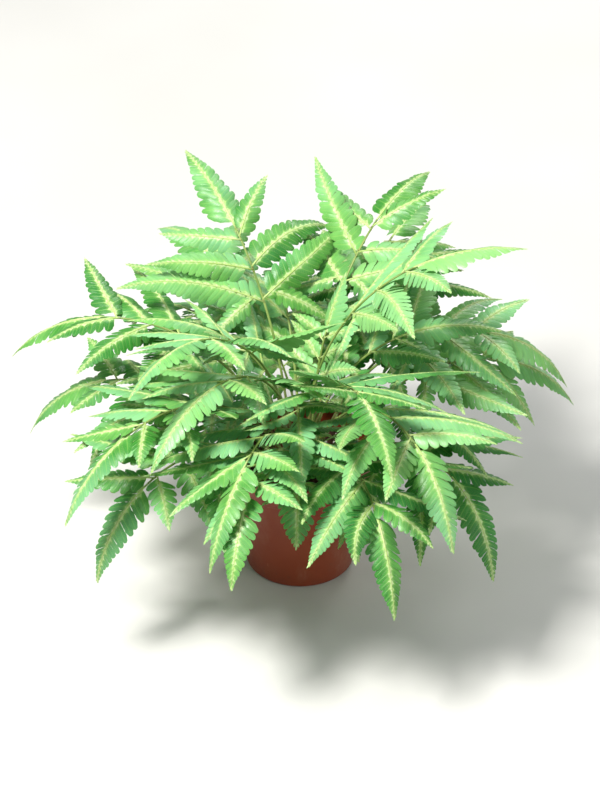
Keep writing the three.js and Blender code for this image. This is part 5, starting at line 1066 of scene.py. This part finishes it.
def pot_object(mats):
    ledge = COLLAR_Z + 1.4
    collar = cone_r(COLLAR_Z) + COLLAR_STEP
    points = [
        (0, 0), (POT_BASE_R - 5.0, 0.0), (POT_BASE_R - 1.4, 0.0), (POT_BASE_R, 1.5), (cone_r(6), 6), (cone_r(45), 45),
        (cone_r(COLLAR_Z), COLLAR_Z), (collar - 0.2, COLLAR_Z - 0.1), (collar + 0.5, COLLAR_Z + 1.0), (collar + 0.35, COLLAR_Z + 2.4),
        (POT_TOP_R - 1.05, POT_HEIGHT - 3.3), (POT_TOP_R, POT_HEIGHT - 2.5), (POT_TOP_R, POT_HEIGHT - 0.6), (POT_TOP_R - 0.8, POT_HEIGHT),
        (POT_TOP_R - 1.8, POT_HEIGHT), (POT_TOP_R - 2.6, POT_HEIGHT - 0.9), (collar - POT_WALL, ledge + 0.8), (cone_r(ledge) - POT_WALL + 0.3, ledge - 0.4),
        (POT_BASE_R - POT_WALL, POT_FLOOR + 2.0), (POT_BASE_R - POT_WALL - 2.2, POT_FLOOR), (0, POT_FLOOR),
    ]
    reach = [0, 0, 0.8, 0.8, 0, 0, 0.5, 0.5, 0.7, 0.6, 0.7, 0.7, 0.6, 0.6, 0.6, 0.7, 0.6, 0.6, 1.0, 1.2, 0]
    mesh = Mesh()
    v, f = lathe(rounded(points, reach), 160)
    mesh.add(v, f, 0, chance=0.5)
    pot = mesh.build("terracotta_pot", mats)
    cut = Mesh()
    for k in range(8):
        a = 2 * math.pi * (k + 0.5) / 8
        v, f = lathe([(0, -2), (3.6, -2), (3.6, 5), (0, 5)], 28)
        cut.add(v + [32 * math.cos(a), 32 * math.sin(a), 0], f, 0, chance=0.5)
    cutter = cut.build("drain_cutters", mats)
    m = pot.modifiers.new("holes", "BOOLEAN")
    m.operation, m.object, m.solver = "DIFFERENCE", cutter, "EXACT"
    bpy.context.view_layer.update()
    cleaned = bpy.data.meshes.new_from_object(pot.evaluated_get(bpy.context.evaluated_depsgraph_get()))
    pot.modifiers.clear()
    pot.data = cleaned
    bpy.data.objects.remove(cutter, do_unlink=True)
    pot.data.polygons.foreach_set("use_smooth", np.ones(len(pot.data.polygons), bool))
    pot.data.set_sharp_from_angle(angle=math.radians(38))
    return pot


# ---------------------------------------------------------------- potting mix and rhizome
def waves(p, seed, scale, count=7):
    """Smooth noise: a sum of sines in random directions; p is (n, 3) in mm and scale its feature size."""
    r = np.random.default_rng(seed)
    d = r.normal(size=(count, 3))
    d /= np.linalg.norm(d, axis=1)[:, None]
    k = 2 * np.pi / (scale * r.uniform(0.7, 1.5, count))
    return np.sin(p @ (d * k[:, None]).T + r.uniform(0, 6.28, count)) @ r.uniform(0.5, 1.0, count) / count * 1.6


def soil_height(x, y):
    r = np.hypot(x, y)
    p = np.stack([x, y, 0 * x], -1)
    h = 91.0 + 3.0 * np.clip(1 - (r / 54) ** 2, 0, 1)
    return h + 0.9 * waves(p, 3, 16) + 0.5 * waves(p, 4, 6) + 0.22 * waves(p, 5, 2.6)


def soil_object(rng, mats):
    mesh = Mesh()
    ledge = COLLAR_Z + 1.4
    wall = cone_r(COLLAR_Z) + COLLAR_STEP - POT_WALL - 0.45
    sides = 150
    profile = [(0, POT_FLOOR + 0.35), (POT_BASE_R - POT_WALL - 2.6, POT_FLOOR + 0.35), (POT_BASE_R - POT_WALL - 0.5, POT_FLOOR + 2.3),
               (cone_r(ledge) - POT_WALL - 0.45, ledge - 0.6), (wall - 0.5, ledge + 1.6), (wall, 89.5)]
    radii = wall * np.sqrt(np.linspace(0.992, 0.0, 46))[:-1]
    body = profile[:] + [(r, 0.0) for r in radii] + [(0.0, 0.0)]
    v, f = lathe(body, sides)
    top = np.zeros(len(v), bool)
    top[(len(profile) - 1) * sides:] = True
    top[len(v) - 2] = False
    v[top, 2] = soil_height(v[top, 0], v[top, 1])
    rim = slice((len(profile) - 1) * sides, len(profile) * sides)
    v[rim, 2] -= 0.5
    mesh.add(v, f, 0, chance=0.2)
    # crumbs
    ico_v, ico_f = ico(1)
    n = 1250
    r = 52.2 * np.sqrt(rng.uniform(0.02, 1, n))
    a = rng.uniform(0, 2 * math.pi, n)
    size = 0.45 + 1.5 * rng.random(n) ** 3
    x, y = np.minimum(r, 53.0 - size) * np.cos(a), np.minimum(r, 53.0 - size) * np.sin(a)
    z = soil_height(x, y) + size * rng.uniform(-0.1, 0.55, n)
    lump = 1 + 0.28 * rng.normal(size=(n, len(ico_v), 1)).clip(-1.4, 1.4)
    stretch = rng.uniform(0.6, 1.25, (n, 1, 3))
    v = ico_v[None] * lump * stretch * size[:, None, None] + np.stack([x, y, z], -1)[:, None]
    mesh.add(v, (ico_f[None] + len(ico_v) * np.arange(n)[:, None, None]), 0, chance=np.repeat(rng.random(n), len(ico_v)))
    # perlite
    n = 74
    r = 51.0 * np.sqrt(rng.uniform(0.1, 1, n))
    a = rng.uniform(0, 2 * math.pi, n)
    x, y = r * np.cos(a), r * np.sin(a)
    size = rng.uniform(0.6, 1.7, n)
    z = soil_height(x, y) + size * rng.uniform(-0.2, 0.5, n)
    lump = 1 + 0.2 * rng.normal(size=(n, len(ico_v), 1)).clip(-1.5, 1.5)
    v = ico_v[None] * lump * rng.uniform(0.7, 1.2, (n, 1, 3)) * size[:, None, None] + np.stack([x, y, z], -1)[:, None]
    mesh.add(v, (ico_f[None] + len(ico_v) * np.arange(n)[:, None, None]), 1, chance=np.repeat(rng.random(n), len(ico_v)))
    # fibres and bits of bark
    for _ in range(95):
        ln = rng.uniform(4, 15)
        r0, a0, h0 = 50 * math.sqrt(rng.uniform(0.05, 1)), rng.uniform(0, 6.283), rng.uniform(0, 6.283)
        s = np.linspace(-0.5, 0.5, 7)
        head = h0 + rng.uniform(-1.4, 1.4) * s
        x = r0 * math.cos(a0) + ln * np.cumsum(np.cos(head)) / 7 - ln / 2 * math.cos(h0)
        y = r0 * math.sin(a0) + ln * np.cumsum(np.sin(head)) / 7 - ln / 2 * math.sin(h0)
        rr = np.hypot(x, y)
        keep = np.minimum(1, 52.0 / np.maximum(rr, 1e-6))
        x, y = x * keep, y * keep
        z = soil_height(x, y) + rng.uniform(0.2, 0.8) + rng.uniform(0, 1.3) * np.cos(3 * s)
        P = np.stack([x, y, z], -1)
        D = np.gradient(P, axis=0)
        D /= np.linalg.norm(D, axis=1)[:, None]
        S = np.cross(D, [0, 0, 1.0])
        S /= np.linalg.norm(S, axis=1)[:, None]
        tube(mesh, P, np.cross(S, D), S, rng.uniform(0.14, 0.42) * np.array([0.5, 0.9, 1, 1, 1, 0.8, 0.4]), 5, 2, chance=rng.random())
    return mesh.build("soil_surface", mats)


def ico(levels):
    """A unit icosphere's points and its faces, four-cornered form."""
    bm = bmesh.new()
    bmesh.ops.create_icosphere(bm, subdivisions=levels, radius=1.0)
    bm.verts.ensure_lookup_table()
    v = np.array([x.co[:] for x in bm.verts])
    f = np.array([[x.index for x in p.verts] for p in bm.faces])
    bm.free()
    return v, np.concatenate([f, f[:, 2:]], 1)


def rhizome_object(rng, mats):
    mesh = Mesh()
    v, f = ico(6)
    lump = 1 + 0.05 * np.sin(5 * v[:, 0] + 1.3) * np.cos(4.3 * v[:, 1] - 0.6) + 0.035 * np.sin(7 * v[:, 1] + 5 * v[:, 2])
    p = v * lump[:, None] * [24.5, 22.5, 11]
    p = p + v * (0.55 * waves(p, 21, 9) + 0.3 * waves(p, 22, 3.6))[:, None]
    mesh.add(p + [0, 0, 88], f, 0, chance=0.5)
    n = 1500
    d = rng.normal(size=(n, 3))
    d[:, 2] = np.abs(d[:, 2]) * 0.9 + 0.05
    d /= np.linalg.norm(d, axis=1)[:, None]
    P = d * [24.3, 22.3, 10.9] + [0, 0, 88]
    normal = d / [24.5, 22.5, 11]
    normal /= np.linalg.norm(normal, axis=1)[:, None]
    flat = np.stack([d[:, 0], d[:, 1], 0 * d[:, 0]], -1) + rng.normal(0, 0.5, (n, 3))
    A = flat * 0.7 + normal * rng.uniform(0.25, 0.9, (n, 1)) + [0, 0, 0.25]
    flakes(mesh, P, A, normal, rng.uniform(2.4, 5.6, n), rng.uniform(0.35, 0.8, n), 0.12, 1, rng.random(n))
    return mesh.build("creeping_rhizome", mats)


# ---------------------------------------------------------------- the plant
LOOK = dict(pitch=8.5, broad=0.13, edge_curl=-9.0, wave=1.0, free=0.14, grids=[(8, 4), (6, 4), (4, 2)], teeth=0.26, swell=0.07, vein=0.28,
            tilt=7.0, tip_lift=-0.03, thick=0.20, scales=34)
YOUNG_LOOK = dict(pitch=4.4, broad=0.06, edge_curl=-14.0, wave=0.6, free=0.42, grids=[(6, 4), (6, 4), (4, 2)], teeth=0.07, swell=0.12, vein=0.14,
                  tilt=9.0, tip_lift=0.05, thick=0.18, scales=90)

leaf_mats = [leaf_material("leaf upper face", True), leaf_material("leaf under face", False), rib_material(), stalk_material(), scale_material()]
young_mats = [leaf_material("young leaf upper face", True, young=True), leaf_material("young leaf under face", False, young=True), leaf_mats[2], leaf_mats[3], leaf_mats[4]]

shown = []
for k, f in enumerate(FRONDS):
    rng = np.random.default_rng(100 + k)
    age = (f["e0"] - 45) / 45.0     # inner fronds stand up and are younger and paler
    tone = float(np.clip(0.16 * rng.normal() + 0.45 * (age - 0.42), -0.5, 0.5))
    ob = frond_object(f"fern_frond_{k + 1:02d}", f, rng, tone, leaf_mats, LOOK)
    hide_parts(f"frond_{k + 1:02d}")
    shown.append(ob)

rng = np.random.default_rng(40)
ob = frond_object("fern_frond_young", YOUNG_FROND, rng, 0.3, young_mats, YOUNG_LOOK)
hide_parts("young_frond")
shown.append(ob)

crozier_mats = [crozier_material(), leaf_mats[4]]
for k, f in enumerate(CROZIERS):
    ob = crozier_object(f"fiddlehead_{k + 1}", f, np.random.default_rng(60 + k), crozier_mats)
    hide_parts(f"crozier_{k + 1}")
    shown.append(ob)

ob = pot_object([pot_material()])
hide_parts("pot")
shown.append(ob)

ob = soil_object(np.random.default_rng(70), [soil_material(), perlite_material(), fibre_material()])
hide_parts("potting_mix")
shown.append(ob)

ob = rhizome_object(np.random.default_rng(80), [rhizome_material(), leaf_mats[4]])
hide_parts("rhizome")
shown.append(ob)

for ob in shown:
    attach(ob, "root")

# ---------------------------------------------------------------- stage, light and camera
bpy.ops.mesh.primitive_plane_add(size=9, location=(0, 1.2, 0))
floor = bpy.context.object
floor.name = "floor"
floor.data.materials.append(floor_material())

scene = bpy.context.scene
world = bpy.data.worlds.new("studio")
scene.world = world
world.use_nodes = True
sky = world.node_tree.nodes["Background"]
sky.inputs["Color"].default_value = (0.93, 0.97, 1.0, 1)
sky.inputs["Strength"].default_value = 0.32


def area(name, place, target, size, power, colour):
    light = bpy.data.lights.new(name, "AREA")
    light.shape, light.size, light.energy, light.color = "DISK", size, power, colour
    ob = bpy.data.objects.new(name, light)
    scene.collection.objects.link(ob)
    ob.location = place
    direction = mathutils.Vector(target) - mathutils.Vector(place)
    ob.rotation_euler = direction.to_track_quat("-Z", "Y").to_euler()
    return ob


area("key", (-0.75, -0.55, 1.75), (0, 0, 0.18), 0.55, 57.0, (1.0, 0.985, 0.95))
area("fill", (1.5, -1.2, 1.0), (0, 0, 0.15), 1.4, 9.0, (0.94, 0.97, 1.0))
area("back", (0.6, 1.6, 1.3), (0, 0, 0.2), 1.0, 19.0, (1.0, 0.99, 0.95))

camera = bpy.data.cameras.new("camera")
camera_ob = bpy.data.objects.new("camera", camera)
scene.collection.objects.link(camera_ob)
scene.camera = camera_ob
AIM = mathutils.Vector((0.0, 0.0, 0.150))
FAR = 2.9
RISE = 34 * RAD
camera_ob.location = AIM + FAR * mathutils.Vector((0, -math.cos(RISE), math.sin(RISE)))
camera_ob.rotation_euler = (AIM - camera_ob.location).to_track_quat("-Z", "Y").to_euler()
camera.sensor_width = 36
camera.lens = 168
camera.clip_end = 30
camera.dof.use_dof = False
scene.view_settings.view_transform = "Standard"
scene.view_settings.look = "None"
scene.view_settings.exposure = 0.0
